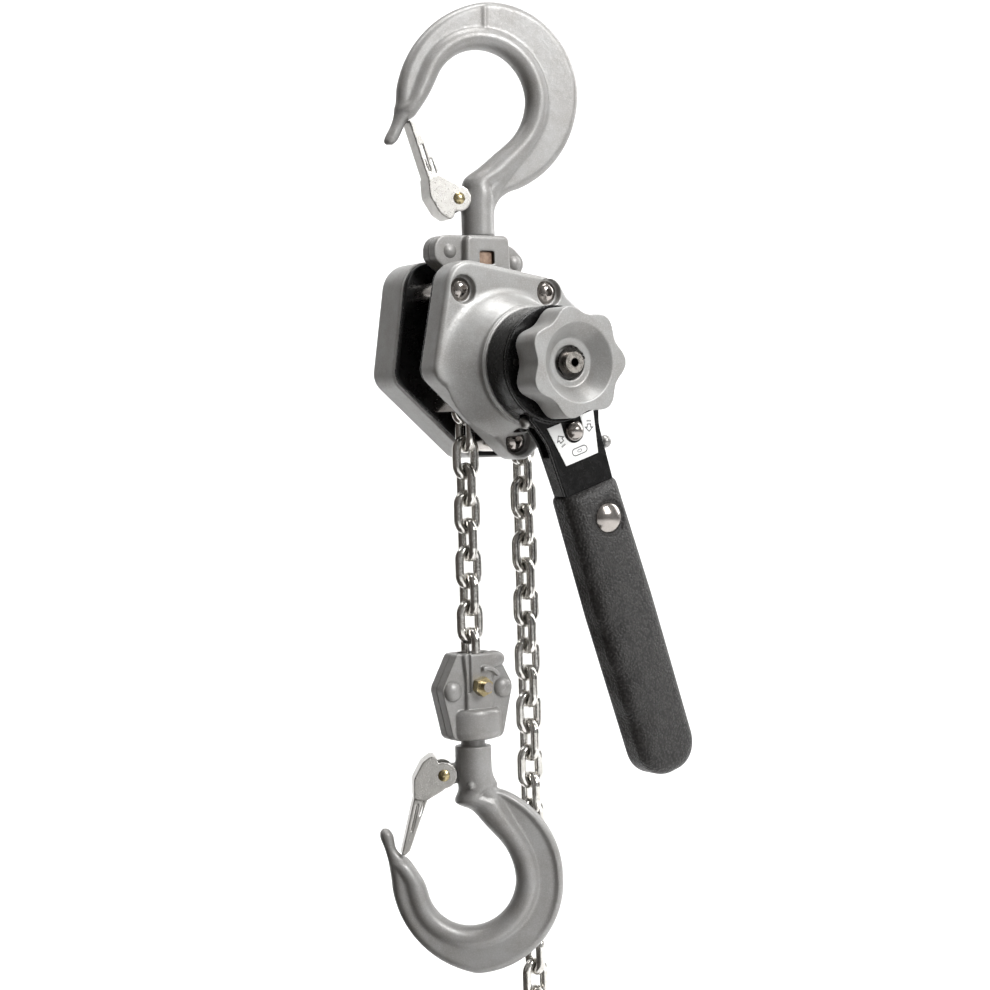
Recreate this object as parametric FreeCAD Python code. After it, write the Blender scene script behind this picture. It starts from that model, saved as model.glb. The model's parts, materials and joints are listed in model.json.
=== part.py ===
"""Lever chain hoist of about a quarter tonne, every piece a solid of its own. Millimetres.

Working frame: the load sheave turns on the Y axis, +Z is up, the hand wheel looks along -Y, the
load side of the chain hangs at -X and the free side at +X. Every piece is shifted as it is saved,
so that the finished part has its origin where the top hook bears on whatever it hangs from.
"""
import FreeCAD, Part
import math
import os

# ---- chain and sheave
WIRE = 4.0
PITCH = 12.0
LINK_LENGTH = PITCH + 2 * WIRE
LINK_WIDTH = 13.0
POCKETS = 4
SHEAVE_RADIUS = POCKETS * 2 * PITCH / (2 * math.pi)
STRAND_X = 14.7
ANCHOR_LINK_Z = -134.7
LOAD_LINKS = 11
IDLE_LINKS = 25
IDLE_TOP_Z = -9.3
WRAP_ANGLES = (145.1, 100.1, 55.1)
QUARTER_POCKET = math.pi / (2 * POCKETS)
JOINT_RADIUS = math.hypot(PITCH / math.sin(QUARTER_POCKET), WIRE / math.cos(QUARTER_POCKET)) / 2
FLAT_RADIUS = math.sqrt(JOINT_RADIUS ** 2 - ((PITCH + WIRE) / 2) ** 2) - 0.03
STANDING_RADIUS = math.sqrt(JOINT_RADIUS ** 2 - ((PITCH - WIRE) / 2) ** 2) - 0.03
RING_RADIUS = 15.0
RING_WIRE = 2.0

# ---- housing, front (brake side) towards -Y, rear (gear side) towards +Y
GAP = 9.5
PLATE = 2.5
PLATE_OUT = GAP + PLATE
FRONT_FACE = -24.7
REAR_FACE = 32.0
WALL = 2.5
FRONT_OUTLINE = [(-33.7, 47.1, 11), (20, 38, 6), (25, 30.4, 3), (39, 19.5, 8), (39, -7, 8),
                 (-0.5, -42.5, 7), (-43.7, -3.2, 8)]
REAR_OUTLINE = [(-36, 46.8, 13), (-10, 48.6, 20), (22, 42, 9), (39, 24, 8), (39, -20, 9),
                (20, -39, 7), (-5, -39, 7), (-43.7, -4.5, 9)]
STAYS = [(-28.3, 33.0), (15.1, 32.2), (-2.7, -31.8)]
STAY_RADIUS = 4.4
SCREW_RADIUS = 3.0
HEAD_RADIUS = 5.2
HEAD_SEAT = 3.2
BELL_BASE = (-8.5, 0.5, 31.0)
BELL_RADIUS = 26.0
BELL_FRONT = -35.5
JOURNAL = 7.5
BEARING_RADIUS = 10.0
FIT = 0.05

# ---- gear train: module 1, stub teeth
MODULE = 1.0
PRESSURE = math.radians(25)
PINION_TEETH = 10
WHEEL_TEETH = 24
SMALL_TEETH = 11
LOAD_TEETH = 23
CENTRES = MODULE * (PINION_TEETH + WHEEL_TEETH) / 2
AXLE = 3.0

# ---- brake
SHAFT = 4.4
SHAFT_FRONT = -65.7
RATCHET_TIP = 20.5
RATCHET_Y = (-20.5, -17.5)
PAWL_PINS = {"brake_pawl_upper": (-6.0, 28.0), "brake_pawl_lower": (-27.0, -6.0)}
HUB_RADIUS = 12.9
CHANGE_TIP = 14.5

# ---- lever
TILT = 18.0
DRUM_RADIUS = 24.8
DRUM_Y = (-49.5, -36.0)
NECK_Y = (-47.5, -39.5)
COVER_Y = -51.5
PIVOT_ALONG = 29.7
SLOT_HALF = 10.6
SELECTOR_REST = 20.0
DRUM_RIVETS = [(20.0 * math.cos(math.radians(a)), 20.0 * math.sin(math.radians(a))) for a in (20, 90, 160)]
GRIP_START = 55.0
GRIP_END = 187.0
GRIP_HALF = 15.3
GRIP_THICK = 9.75
GRIP_Y = -44.3
GRIP_HEAD = 6.8
GRIP_SEAT = 8.0

LEVER_OUTLINE = [(-19.5, -15.3, 3), (-13.6, -31, 18), (-12.6, -56, 1),
                 (12.6, -56, 1), (13.6, -31, 18), (19.5, -15.3, 3)]

# ---- hand wheel
WHEEL_RADIUS = 23.7
WHEEL_LOBES = 7
LOBE_DEPTH = 1.6
WHEEL_Y = (-69.0, -54.5)
COUNTERBORE_Y = -59.2

# ---- top yoke
YOKE_OUTLINE = [(-30.3, 58, 6.5), (-3, 58, 4), (9.5, 53.2, 6), (16.2, 47, 5), (12.5, 41, 3), (7, 38.5, 2),
                (7, 31, 2), (-18, 31, 2), (-18, 39.5, 2), (-25, 43, 4), (-30.8, 47.5, 5)]
YOKE_RIVETS = [(-22.9, 51.0), (10.3, 46.5)]
YOKE_LOBE = 5.2
YOKE_CORE = 8.8
SUSPENSION = [(-14.0, 35.0), (3.5, 35.0)]
PIN_RADIUS = 3.0

# ---- hooks
TOP_X = -5.2
TOP_Z = 58.1
TOP_YAW = -10.8
TOP_SADDLE = (3.2, 81.6)
BOTTOM_Z = -165.0
BOTTOM_YAW = -25.0
WEB = 4.6
BEAD = 6.2
LUG = 2.3
LATCH_HALF = 5.9
LATCH_TONGUE = 4.6
SHEET = 1.3
BLOCK_BOLT_Z = -138.4

# ---- hook block, about the load chain
BLOCK_HALF = 7.7
BLOCK_OUTLINE = [(-10, -124, 2), (10, -124, 2), (18, -139, 5),
                 (12.5, -162, 4), (-12.5, -162, 4), (-18, -139, 5)]
BLOCK_RIVETS = [(-12.4, -140.0), (12.4, -140.0)]
BLOCK_LOBE = 5.4

SADDLE_X = TOP_X + TOP_SADDLE[0] * math.cos(math.radians(TOP_YAW))
SADDLE_Y = TOP_SADDLE[0] * math.sin(math.radians(TOP_YAW))
ORIGIN = FreeCAD.Vector(SADDLE_X, SADDLE_Y, TOP_Z + TOP_SADDLE[1])


def vec(x, y, z):
    return FreeCAD.Vector(x, y, z)


def save(name, *solids):
    """Write the solids of one piece, or of one group of equal pieces, to its STEP file."""
    shape = solids[0] if len(solids) == 1 else Part.makeCompound(list(solids))
    shape = shape.copy()
    shape.translate(ORIGIN * -1)
    shape.exportStep("parts/" + name + ".step")
    print(name, len(shape.Solids), "solids, valid", shape.isValid(), "volume", round(shape.Volume, 1))


def clean(shape):
    """The single solid that a boolean leaves."""
    shape = shape.removeSplitter()
    solids = sorted(shape.Solids, key=lambda solid: solid.Volume)
    return solids[-1]


def box(x0, x1, y0, y1, z0, z1):
    return Part.makeBox(x1 - x0, y1 - y0, z1 - z0, vec(x0, y0, z0))


def cyl_y(radius, y0, y1, x=0.0, z=0.0):
    return Part.makeCylinder(radius, y1 - y0, vec(x, y0, z), vec(0, 1, 0))


def cyl_z(radius, z0, z1, x=0.0, y=0.0):
    return Part.makeCylinder(radius, z1 - z0, vec(x, y, z0), vec(0, 0, 1))


def tube_y(outer, inner, y0, y1, x=0.0, z=0.0):
    return cyl_y(outer, y0, y1, x, z).cut(cyl_y(inner, y0 - 1, y1 + 1, x, z))


def outline(corners):
    """Closed wire in the X-Z plane, from (x, z, radius) corners: straight sides, tangent arcs."""
    edges = []
    count = len(corners)
    tangents = []
    for index in range(count):
        x, z, radius = corners[index]
        here = vec(x, 0, z)
        before = vec(corners[index - 1][0], 0, corners[index - 1][1])
        after = vec(corners[(index + 1) % count][0], 0, corners[(index + 1) % count][1])
        back = (before - here).normalize()
        ahead = (after - here).normalize()
        half = back.getAngle(ahead) / 2
        reach = radius / math.tan(half)
        middle = (back + ahead).normalize()
        arc_mid = here + middle * (radius / math.sin(half) - radius)
        tangents.append((here + back * reach, arc_mid, here + ahead * reach))
    for index in range(count):
        start, arc_mid, end = tangents[index]
        edges.append(Part.Arc(start, arc_mid, end).toShape())
        following = tangents[(index + 1) % count][0]
        if (following - end).Length > 0.01:
            edges.append(Part.LineSegment(end, following).toShape())
    return Part.Wire(edges)


def plate(corners, y0, y1, inset=0.0):
    """Flat plate of that outline between two depths, smaller all round by the inset."""
    wire = outline(corners)
    if inset:
        wire = wire.makeOffset2D(-inset)
    face = Part.Face(wire)
    solid = face.extrude(vec(0, y1 - y0, 0))
    solid.translate(vec(0, y0, 0))
    return solid


def polygon(points, y0, y1):
    """Plate with straight sides through the (x, z) points."""
    corners = [vec(x, y0, z) for x, z in points]
    wire = Part.makePolygon(corners + corners[:1])
    return Part.Face(wire).extrude(vec(0, y1 - y0, 0))


def round_edges_at(solid, y, radius):
    """Round the outer edges that lie flat at one depth; if the shape won't take it, leave them."""
    edges = [e for e in solid.Edges if all(abs(v.Point.y - y) < 0.01 for v in e.Vertexes)]
    try:
        rounded = solid.makeFillet(radius, edges)
        return rounded if rounded.isValid() else solid
    except Exception:
        return solid


def coil(radius, wire, pitch, turns, base, axis):
    """Helical spring with its first turn starting at base."""
    helix = Part.makeHelix(pitch, pitch * turns, radius)
    circle = Part.Wire(Part.makeCircle(wire / 2, vec(radius, 0, 0), vec(0, 1, 0)))
    shell = Part.Wire(helix).makePipeShell([circle], True, True)
    shell.Placement = FreeCAD.Placement(base, FreeCAD.Rotation(vec(0, 0, 1), axis))
    return shell


# ------------------------------------------------------------------ chain

def link(centre, along, across):
    """One oval link: its long axis lies along one direction and its width across another."""
    bend = LINK_WIDTH / 2 - WIRE / 2
    straight = LINK_LENGTH / 2 - LINK_WIDTH / 2
    path = Part.Wire([
        Part.LineSegment(vec(bend, 0, -straight), vec(bend, 0, straight)).toShape(),
        Part.Arc(vec(bend, 0, straight), vec(0, 0, straight + bend), vec(-bend, 0, straight)).toShape(),
        Part.LineSegment(vec(-bend, 0, straight), vec(-bend, 0, -straight)).toShape(),
        Part.Arc(vec(-bend, 0, -straight), vec(0, 0, -straight - bend), vec(bend, 0, -straight)).toShape(),
    ])
    circle = Part.Wire(Part.makeCircle(WIRE / 2, vec(bend, 0, 0), vec(0, 0, 1)))
    circle.translate(vec(0, 0, -straight))
    solid = path.makePipeShell([circle], True, True)
    depth = along.cross(across)
    solid.Placement = FreeCAD.Placement(centre, FreeCAD.Rotation(across, depth * -1, along, "ZXY"))
    return solid


def strand(x, top_z, count, first_standing):
    """A straight run of links, every second one a quarter turn round."""
    links = []
    for index in range(count):
        standing = (index % 2 == 0) == first_standing
        across = vec(1, 0, 0) if standing else vec(0, 1, 0)
        links.append(link(vec(x, 0, top_z - index * PITCH), vec(0, 0, 1), across))
    return links


def wrapped_links():
    """The links that lie over the top of the sheave, in its groove and pockets."""
    links = []
    for index, degrees in enumerate(WRAP_ANGLES):
        angle = math.radians(degrees)
        radial = vec(math.cos(angle), 0, math.sin(angle))
        along = vec(-math.sin(angle), 0, math.cos(angle))
        standing = index % 2 == 0
        across = radial if standing else vec(0, 1, 0)
        radius = STANDING_RADIUS if standing else FLAT_RADIUS
        links.append(link(radial * radius, along, across))
    return links


def end_ring():
    """Ring through the last link of the free side, too large to be pulled into the housing."""
    last = IDLE_TOP_Z - (IDLE_LINKS - 1) * PITCH
    drop = LINK_LENGTH / 2 - WIRE - RING_WIRE - 0.2
    centre = vec(STRAND_X, 0, last - drop - RING_RADIUS)
    return Part.makeTorus(RING_RADIUS, RING_WIRE, centre, vec(1, 0, 0))


# ------------------------------------------------------------------ sheave and gears

def load_sheave():
    core = 7.2
    flange = 11.5
    groove = 2.5
    rim_side = 8.2
    lug_tip = 15.4
    lug_half = 0.9
    body = cyl_y(core, -groove - 1, groove + 1)
    for side in (-1, 1):
        y0, y1 = sorted((side * groove, side * rim_side))
        body = body.fuse(cyl_y(flange, y0, y1))
        for degrees in (WRAP_ANGLES[0], WRAP_ANGLES[2]):
            for half_turn in (0, 180):
                lug = box(flange - 2, lug_tip, y0, y1, -lug_half, lug_half)
                lug.rotate(vec(0, 0, 0), vec(0, 1, 0), -degrees - half_turn)
                body = body.fuse(lug)
    body = body.fuse(cyl_y(JOURNAL, -PLATE_OUT - 0.5, PLATE_OUT + 0.8))
    body = body.fuse(cyl_y(JOURNAL - 0.5, PLATE_OUT, 18.2))
    return clean(body.cut(cyl_y(4.0 + FIT, -20, 20)))


def gear(teeth, y0, y1, tooth_at, x=0.0, z=0.0):
    """Spur gear with involute teeth, one of them centred on the given direction in degrees."""
    pitch_radius = MODULE * teeth / 2
    tip = pitch_radius + 0.8 * MODULE
    root = pitch_radius - 1.0 * MODULE
    base = pitch_radius * math.cos(PRESSURE)
    backlash = 0.14
    half_pitch = (math.pi / 2 * MODULE - backlash) / (2 * pitch_radius)
    at_base = half_pitch + math.tan(PRESSURE) - PRESSURE
    steps = 4
    flank = [(root, at_base)]
    start = max(base, root + 0.01)
    for step in range(steps + 1):
        radius = start + (tip - start) * step / steps
        roll = math.acos(min(1.0, base / radius))
        flank.append((radius, at_base - (math.tan(roll) - roll)))
    points = []
    for tooth in range(teeth):
        centre = math.radians(tooth_at) + 2 * math.pi * tooth / teeth
        rising = [(r, centre - a) for r, a in flank]
        falling = [(r, centre + a) for r, a in reversed(flank)]
        points += [(x + r * math.cos(a), z + r * math.sin(a)) for r, a in rising + falling]
    return polygon(points, y0, y1)


def compound_gear(x):
    """Large wheel driven by the shaft's pinion, and the small gear beside it, on one axle."""
    towards_shaft = 0.0 if x < 0 else 180.0
    wheel = gear(WHEEL_TEETH, 20.0, 26.0, towards_shaft + 180.0 / WHEEL_TEETH, x)
    gap_at = towards_shaft + 180.0 / SMALL_TEETH
    small_tooth = gap_at if x < 0 else towards_shaft
    small = gear(SMALL_TEETH, 13.0, 19.0, small_tooth, x)
    axle = cyl_y(AXLE, 10.2, 31.0, x)
    shoulder = cyl_y(4.4, 18.5, 27.0, x)
    return clean(wheel.fuse([small, axle, shoulder]))


def drive_shaft():
    pinion = gear(PINION_TEETH, 19.5, 26.8, 0.0)
    shaft = cyl_y(4.0, -13.0, 27.0)
    shaft = shaft.fuse([pinion, cyl_y(3.2, 26.5, 30.8), cyl_y(SHAFT, SHAFT_FRONT, -13.0)])
    groove = tube_y(SHAFT + 1, SHAFT - 0.6, -63.3, -62.1)
    centre_hole = cyl_y(1.7, SHAFT_FRONT - 1, SHAFT_FRONT + 5)
    return clean(shaft.cut(groove).cut(centre_hole))


# ------------------------------------------------------------------ housing

def frame_plate(front):
    corners = FRONT_OUTLINE if front else REAR_OUTLINE
    y0, y1 = (-PLATE_OUT, -GAP) if front else (GAP, PLATE_OUT)
    body = plate(corners, y0, y1, 0.8)
    body = body.cut(cyl_y(BEARING_RADIUS, y0 - 1, y1 + 1))
    for x, z in STAYS:
        body = body.cut(cyl_y(SCREW_RADIUS, y0 - 1, y1 + 1, x, z))
    for x, z in SUSPENSION:
        body = body.cut(cyl_y(PIN_RADIUS, y0 - 1, y1 + 1, x, z))
    if front:
        for x, z in PAWL_PINS.values():
            body = body.cut(cyl_y(2.0, y0 - 1, y1 + 1, x, z))
    else:
        for x in (-CENTRES, CENTRES):
            body = body.cut(cyl_y(AXLE + FIT, y0 - 1, y1 + 1, x))
    return clean(body)


def brake_cover():
    """Cast cover with the bell that shields the brake; the bell's foot leans to the load side."""
    shell = plate(FRONT_OUTLINE, FRONT_FACE, -PLATE_OUT)
    shell = round_edges_at(shell, FRONT_FACE, 2.0)
    foot_x, foot_z, foot_radius = BELL_BASE
    foot = Part.makeCircle(foot_radius, vec(foot_x, FRONT_FACE + 1, foot_z), vec(0, 1, 0))
    lip = Part.makeCircle(BELL_RADIUS, vec(0, BELL_FRONT + 3, 0), vec(0, 1, 0))
    front = Part.makeCircle(BELL_RADIUS, vec(0, BELL_FRONT, 0), vec(0, 1, 0))
    bell = Part.makeLoft([Part.Wire(foot), Part.Wire(lip), Part.Wire(front)], True, True)
    inside = plate(FRONT_OUTLINE, FRONT_FACE + WALL, -PLATE_OUT + 1, WALL)
    for x, z in STAYS:
        inside = inside.cut(cyl_y(HEAD_RADIUS + 3, FRONT_FACE, -PLATE_OUT + 2, x, z))
    for x, z in PAWL_PINS.values():
        inside = inside.cut(cyl_y(4.0, FRONT_FACE, -22.0, x, z))
    shell = shell.fuse(bell)
    shell = shell.cut(inside).cut(cyl_y(BELL_RADIUS - WALL, BELL_FRONT + WALL, FRONT_FACE + WALL + 1))
    shell = shell.cut(cyl_y(HUB_RADIUS + 0.4, BELL_FRONT - 1, BELL_FRONT + WALL + 1))
    for x, z in STAYS:
        shell = shell.cut(cyl_y(HEAD_RADIUS + 0.9, FRONT_FACE - 12, FRONT_FACE + HEAD_SEAT, x, z))
        shell = shell.cut(cyl_y(SCREW_RADIUS + 0.1, FRONT_FACE, 0, x, z))
    for x, z in PAWL_PINS.values():
        shell = shell.cut(cyl_y(2.0, -23.2, -12, x, z))
    return clean(shell)


def gear_cover():
    """Cast cover over the gear train, with bosses for the axles and the screws."""
    shell = plate(REAR_OUTLINE, PLATE_OUT, REAR_FACE)
    shell = round_edges_at(shell, REAR_FACE, 3.0)
    inside = plate(REAR_OUTLINE, PLATE_OUT - 1, REAR_FACE - WALL, WALL)
    for x, z in STAYS:
        inside = inside.cut(cyl_y(HEAD_RADIUS + 2, PLATE_OUT - 2, REAR_FACE, x, z))
    for x in (-CENTRES, 0, CENTRES):
        inside = inside.cut(cyl_y(6.0, 27.4, REAR_FACE, x))
    shell = shell.cut(inside)
    for x in (-CENTRES, CENTRES):
        shell = shell.cut(cyl_y(AXLE + FIT, 25, 31.2, x))
    shell = shell.cut(cyl_y(3.2 + FIT, 25, 31.0))
    for x, z in STAYS:
        shell = shell.cut(cyl_y(HEAD_RADIUS + 0.9, REAR_FACE - HEAD_SEAT, REAR_FACE + 1, x, z))
        shell = shell.cut(cyl_y(SCREW_RADIUS + 0.1, 0, REAR_FACE, x, z))
    return clean(shell)


def stay_rod(x, z):
    """Distance rod between the frame plates, tapped at both ends for the cover screws."""
    rod = cyl_y(STAY_RADIUS, -GAP, GAP, x, z)
    for y0, y1 in ((-GAP - 1, -3.5), (3.5, GAP + 1)):
        rod = rod.cut(cyl_y(SCREW_RADIUS, y0, y1, x, z))
    return rod


def cover_screw(x, z, side):
    """Button-head screw with a hexagon socket; side is -1 at the front and 1 at the rear."""
    seat = FRONT_FACE + HEAD_SEAT if side < 0 else REAR_FACE - HEAD_SEAT
    height = 3.0
    ball = (HEAD_RADIUS ** 2 + height ** 2) / (2 * height)
    dome = Part.makeSphere(ball, vec(x, seat + side * (height - ball), z))
    low, high = sorted((seat, seat + side * height))
    head = dome.common(cyl_y(HEAD_RADIUS, low, high, x, z))
    low, high = sorted((side * 4.0, seat + side * 0.5))
    screw = head.fuse(cyl_y(SCREW_RADIUS, low, high, x, z))
    socket = [(x + 1.9 * math.cos(math.radians(a)), z + 1.9 * math.sin(math.radians(a)))
              for a in range(0, 360, 60)]
    low, high = sorted((seat + side * 1.0, seat + side * 4.0))
    return clean(screw.cut(polygon(socket, low, high)))


def sheave_bearing(side):
    low, high = sorted((side * GAP, side * PLATE_OUT))
    return tube_y(BEARING_RADIUS, JOURNAL + FIT, low, high)


def chain_stripper():
    """Bar across the housing with a finger in the sheave's groove, which peels links off it."""
    bar = box(0.2, 5.0, -GAP, GAP, -27.0, -23.6)
    side = [(1.75, -9.3), (2.55, -9.3), (3.1, -13.5), (4.2, -18), (4.2, -24), (1.5, -24), (1.75, -14)]
    finger = polygon(side, -1.8, 1.8)
    return clean(bar.fuse(finger))


def chain_guide(side):
    low, high = sorted((side * 22.9, side * 24.6))
    return box(low, high, -GAP, GAP, -18.5, -5.0)


# ------------------------------------------------------------------ top yoke

def yoke_half(side):
    """One cast half of the yoke that carries the top hook; side is -1 at the front."""
    y0, y1 = sorted((0, side * YOKE_LOBE))
    body = plate(YOKE_OUTLINE, y0, y1)
    y0, y1 = sorted((0, side * YOKE_CORE))
    core = plate([(-16.5, 58, 3), (5.5, 58, 3), (6.5, 31, 2), (-17.5, 31, 2)], y0, y1)
    core = round_edges_at(core, side * YOKE_CORE, 1.5)
    body = body.fuse(core)
    body = body.cut(cyl_z(8.5, 40.0, 51.2, TOP_X)).cut(cyl_z(5.8, 50, 60, TOP_X))
    for x, z in YOKE_RIVETS:
        body = body.cut(cyl_y(2.2, -10, 10, x, z))
    for x, z in SUSPENSION:
        body = body.cut(cyl_y(PIN_RADIUS, -10, 10, x, z))
    if side < 0:
        body = body.cut(box(-9.9, -2.6, -10, -3, 45.4, 51.0))
    return clean(body)


def rivet(x, z, y0, y1, radius, head_radius, head_height):
    """Rivet with a domed head at both ends."""
    ball = (head_radius ** 2 + head_height ** 2) / (2 * head_height)
    body = cyl_y(radius, y0, y1, x, z)
    for end, side in ((y0, -1), (y1, 1)):
        sphere = Part.makeSphere(ball, vec(x, end + side * (head_height - ball), z))
        low, high = sorted((end, end + side * head_height))
        body = body.fuse(sphere.common(cyl_y(head_radius, low, high, x, z)))
    return clean(body)


def hex_nut(across_flats, low, high, bore, x=0.0, y=0.0):
    """Hexagon nut on a vertical axis."""
    corner = across_flats / math.sqrt(3)
    points = [vec(x + corner * math.cos(math.radians(a)), y + corner * math.sin(math.radians(a)), low)
              for a in range(0, 360, 60)]
    body = Part.Face(Part.makePolygon(points + points[:1])).extrude(vec(0, 0, high - low))
    return clean(body.cut(cyl_z(bore, low - 1, high + 1, x, y)))


# ------------------------------------------------------------------ hooks, drawn upwards from the shoulder

TOP_PROFILE = {
    "outer": [((6.8, 6), (9, 14.5), (14.8, 19.6)), ((14.8, 19.6), (40.8, 38.5), (48.6, 66)),
              ((48.6, 66), (35, 93), (5, 102.6)), ((5, 102.6), (-25, 86), (-36.4, 60))],
    "tip": [(-36.4, 60), (-37.6, 51.5), (-42, 43.2), (-41.2, 40.8), (-38.6, 40.8), (-34.6, 50.6),
            (-28.6, 51.4)],
    "inner": [((-28.6, 51.4), (-22.2, 60), (-17.8, 68.2)), ((-17.8, 68.2), (3.2, 81.6), (24.2, 60.6)),
              ((24.2, 60.6), (21.4, 49.5), (12.8, 39.8))],
    "neck": [(12.8, 39.8), (-5, 25), (-7.3, 21), (-7.3, 6)],
    "bowl": (3.2, 60.6, 21.0), "pin": (-10.6, 16.0), "latch_tip": (-31.5, 49.5), "shank": 7.3,
}
BOTTOM_PROFILE = {
    "outer": [((7.0, 6), (8.2, 15), (12.8, 20)), ((12.8, 20), (33.6, 39.5), (38.6, 60)),
              ((38.6, 60), (27.2, 89.3), (-0.4, 100.9)), ((-0.4, 100.9), (-28, 83.5), (-37.6, 56))],
    "tip": [(-37.6, 56), (-39.5, 46), (-42, 37.4), (-40.5, 34.6), (-37.5, 35.6), (-35.6, 47), (-30.2, 48)],
    "inner": [((-30.2, 48), (-25.4, 54.5), (-21.6, 62.8)), ((-21.6, 62.8), (-2.4, 79.5), (17.4, 59.5)),
              ((17.4, 59.5), (14.8, 49), (7.5, 39))],
    "neck": [(7.5, 39), (-5, 24.5), (-8, 20), (-8, 6)],
    "bowl": (-2.4, 59.5, 20.0), "pin": (-13.7, 12.0), "latch_tip": (-32.3, 46.3), "shank": 8.0,
}


def flat_arc(*spots):
    return Part.Arc(*[vec(x, 0, z) for x, z in spots]).toShape()


def hook_body(profile, neck_radius, neck_length):
    """Forged hook: a flat web, a thick round bead along the inside, a shank and its neck."""
    edges = []
    arcs = profile["outer"]
    for start, mid, end in arcs:
        edges.append(flat_arc(start, mid, end))
    for (x0, z0), (x1, z1) in zip(profile["tip"], profile["tip"][1:]):
        edges.append(Part.LineSegment(vec(x0, 0, z0), vec(x1, 0, z1)).toShape())
    for start, mid, end in profile["inner"]:
        edges.append(flat_arc(start, mid, end))
    closing = profile["neck"] + [arcs[0][0]]
    for (x0, z0), (x1, z1) in zip(closing, closing[1:]):
        edges.append(Part.LineSegment(vec(x0, 0, z0), vec(x1, 0, z1)).toShape())
    web = Part.Face(Part.Wire(edges)).extrude(vec(0, 2 * WEB, 0))
    web.translate(vec(0, -WEB, 0))

    bowl_x, bowl_z, bowl_radius = profile["bowl"]
    ring = bowl_radius + BEAD
    start = math.radians(168)
    finish = math.radians(-36)
    middle = (start + finish) / 2
    spots = [vec(bowl_x + ring * math.cos(a), 0, bowl_z + ring * math.sin(a)) for a in (start, middle, finish)]
    foot = vec(1.0, 0, 13)
    path = Part.Wire([Part.Arc(*spots).toShape()])
    tangent = vec(-math.sin(start), 0, math.cos(start))
    circle = Part.Wire(Part.makeCircle(BEAD, spots[0], tangent))
    bead = path.makePipeShell([circle], True, True)
    lower = spots[2]
    reach = (foot - lower).Length
    leg = Part.makeCone(BEAD, profile["shank"] - 0.4, reach, lower, foot - lower)
    shank = cyl_z(profile["shank"], 0, 16)
    crown = Part.makeSphere(profile["shank"], vec(0, 0, 16))
    joint_ball = Part.makeSphere(BEAD, lower)
    nose = Part.makeSphere(BEAD, spots[0])
    neck = cyl_z(neck_radius, -neck_length, 1)
    body = web.fuse([bead, leg, shank, crown, joint_ball, nose, neck])

    pin_x, pin_z = profile["pin"]
    lug = cyl_y(4.6, -LUG, LUG, pin_x, pin_z).fuse(box(pin_x, 0, -LUG, LUG, pin_z - 4.6, pin_z + 4.6))
    body = body.fuse(lug)
    for y0, y1 in ((-12, -LUG), (LUG, 12)):
        body = body.cut(cyl_y(6.4, y0, y1, pin_x, pin_z))
    body = body.cut(cyl_y(1.6, -12, 12, pin_x, pin_z))
    return clean(body)


def latch(profile):
    """Pressed latch: two cheeks on the pin, a back that joins them, and a slotted channel as tongue.

    It is drawn with its tongue along +X from the pin, its back towards +Z, and then turned.
    """
    pin_x, pin_z = profile["pin"]
    tip_x, tip_z = profile["latch_tip"]
    length = math.hypot(tip_x - pin_x, tip_z - pin_z)
    half = LATCH_HALF
    cheek = [(-7, 8, 2.0), (-1, 11, 5), (7.5, 11, 6), (15, 7, 1), (13.5, 2, 2), (4, -4, 3)]
    body = plate(cheek, -half, half).cut(plate(cheek, -half + SHEET, half - SHEET, SHEET))
    body = body.cut(box(-20, 20, -half + SHEET, half - SHEET, -20, 5.4))
    side = [(12.5, 7.6), (length, 0.7), (length, -0.7), (length - 3, -1.8), (13, 1.4)]
    inner = [(12, 6.4), (length + 1, -0.9), (length + 1, -9), (12, -9)]
    tongue = polygon(side, -LATCH_TONGUE, LATCH_TONGUE)
    tongue = tongue.cut(polygon(inner, -LATCH_TONGUE + SHEET, LATCH_TONGUE - SHEET))
    lean = math.degrees(math.atan2(6.9, length - 12.5))
    for start, end, depth in ((17.0, 29.0, 2.0), (15.5, 22.0, 4.1)):
        slot = box(start, end, -9, 9, -depth - 0.5, -depth + 0.5)
        slot.rotate(vec(start, 0, 0), vec(0, 1, 0), lean)
        slot.translate(vec(0, 0, 7.6 - (start - 12.5) * math.tan(math.radians(lean))))
        tongue = tongue.cut(slot)
    body = body.fuse(tongue)
    for y0, y1 in ((-half, -half + SHEET), (half - SHEET, half)):
        body = body.fuse(cyl_y(5.7, y0, y1))
    body = body.cut(cyl_y(1.6 + FIT, -8, 8))
    along = vec(tip_x - pin_x, 0, tip_z - pin_z).normalize()
    turn = math.degrees(math.atan2(along.z, along.x))
    body.rotate(vec(0, 0, 0), vec(0, 1, 0), -turn)
    body.translate(vec(pin_x, 0, pin_z))
    return clean(body)


def latch_pin(profile):
    pin_x, pin_z = profile["pin"]
    return rivet(pin_x, pin_z, -6.1, 6.1, 1.6, 2.6, 1.0)


def latch_spring(profile, side):
    """One of the two coils of the torsion spring, on the pin between the lug and a cheek."""
    pin_x, pin_z = profile["pin"]
    return coil(2.5, 0.7, 0.75, 1.4, vec(pin_x, side * (LUG + 0.45), pin_z), vec(0, side, 0))


def place_top(shape):
    """From the hook's own frame to the top of the hoist."""
    shape = shape.copy()
    shape.rotate(vec(0, 0, 0), vec(0, 0, 1), TOP_YAW)
    shape.translate(vec(TOP_X, 0, TOP_Z))
    return shape


def place_bottom(shape):
    """From the hook's own frame to the foot of the load chain, upside down."""
    shape = shape.mirror(vec(0, 0, 0), vec(0, 0, 1))
    shape.rotate(vec(0, 0, 0), vec(0, 0, 1), BOTTOM_YAW)
    shape.translate(vec(-STRAND_X, 0, BOTTOM_Z))
    return shape


# ------------------------------------------------------------------ hook block

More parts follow.
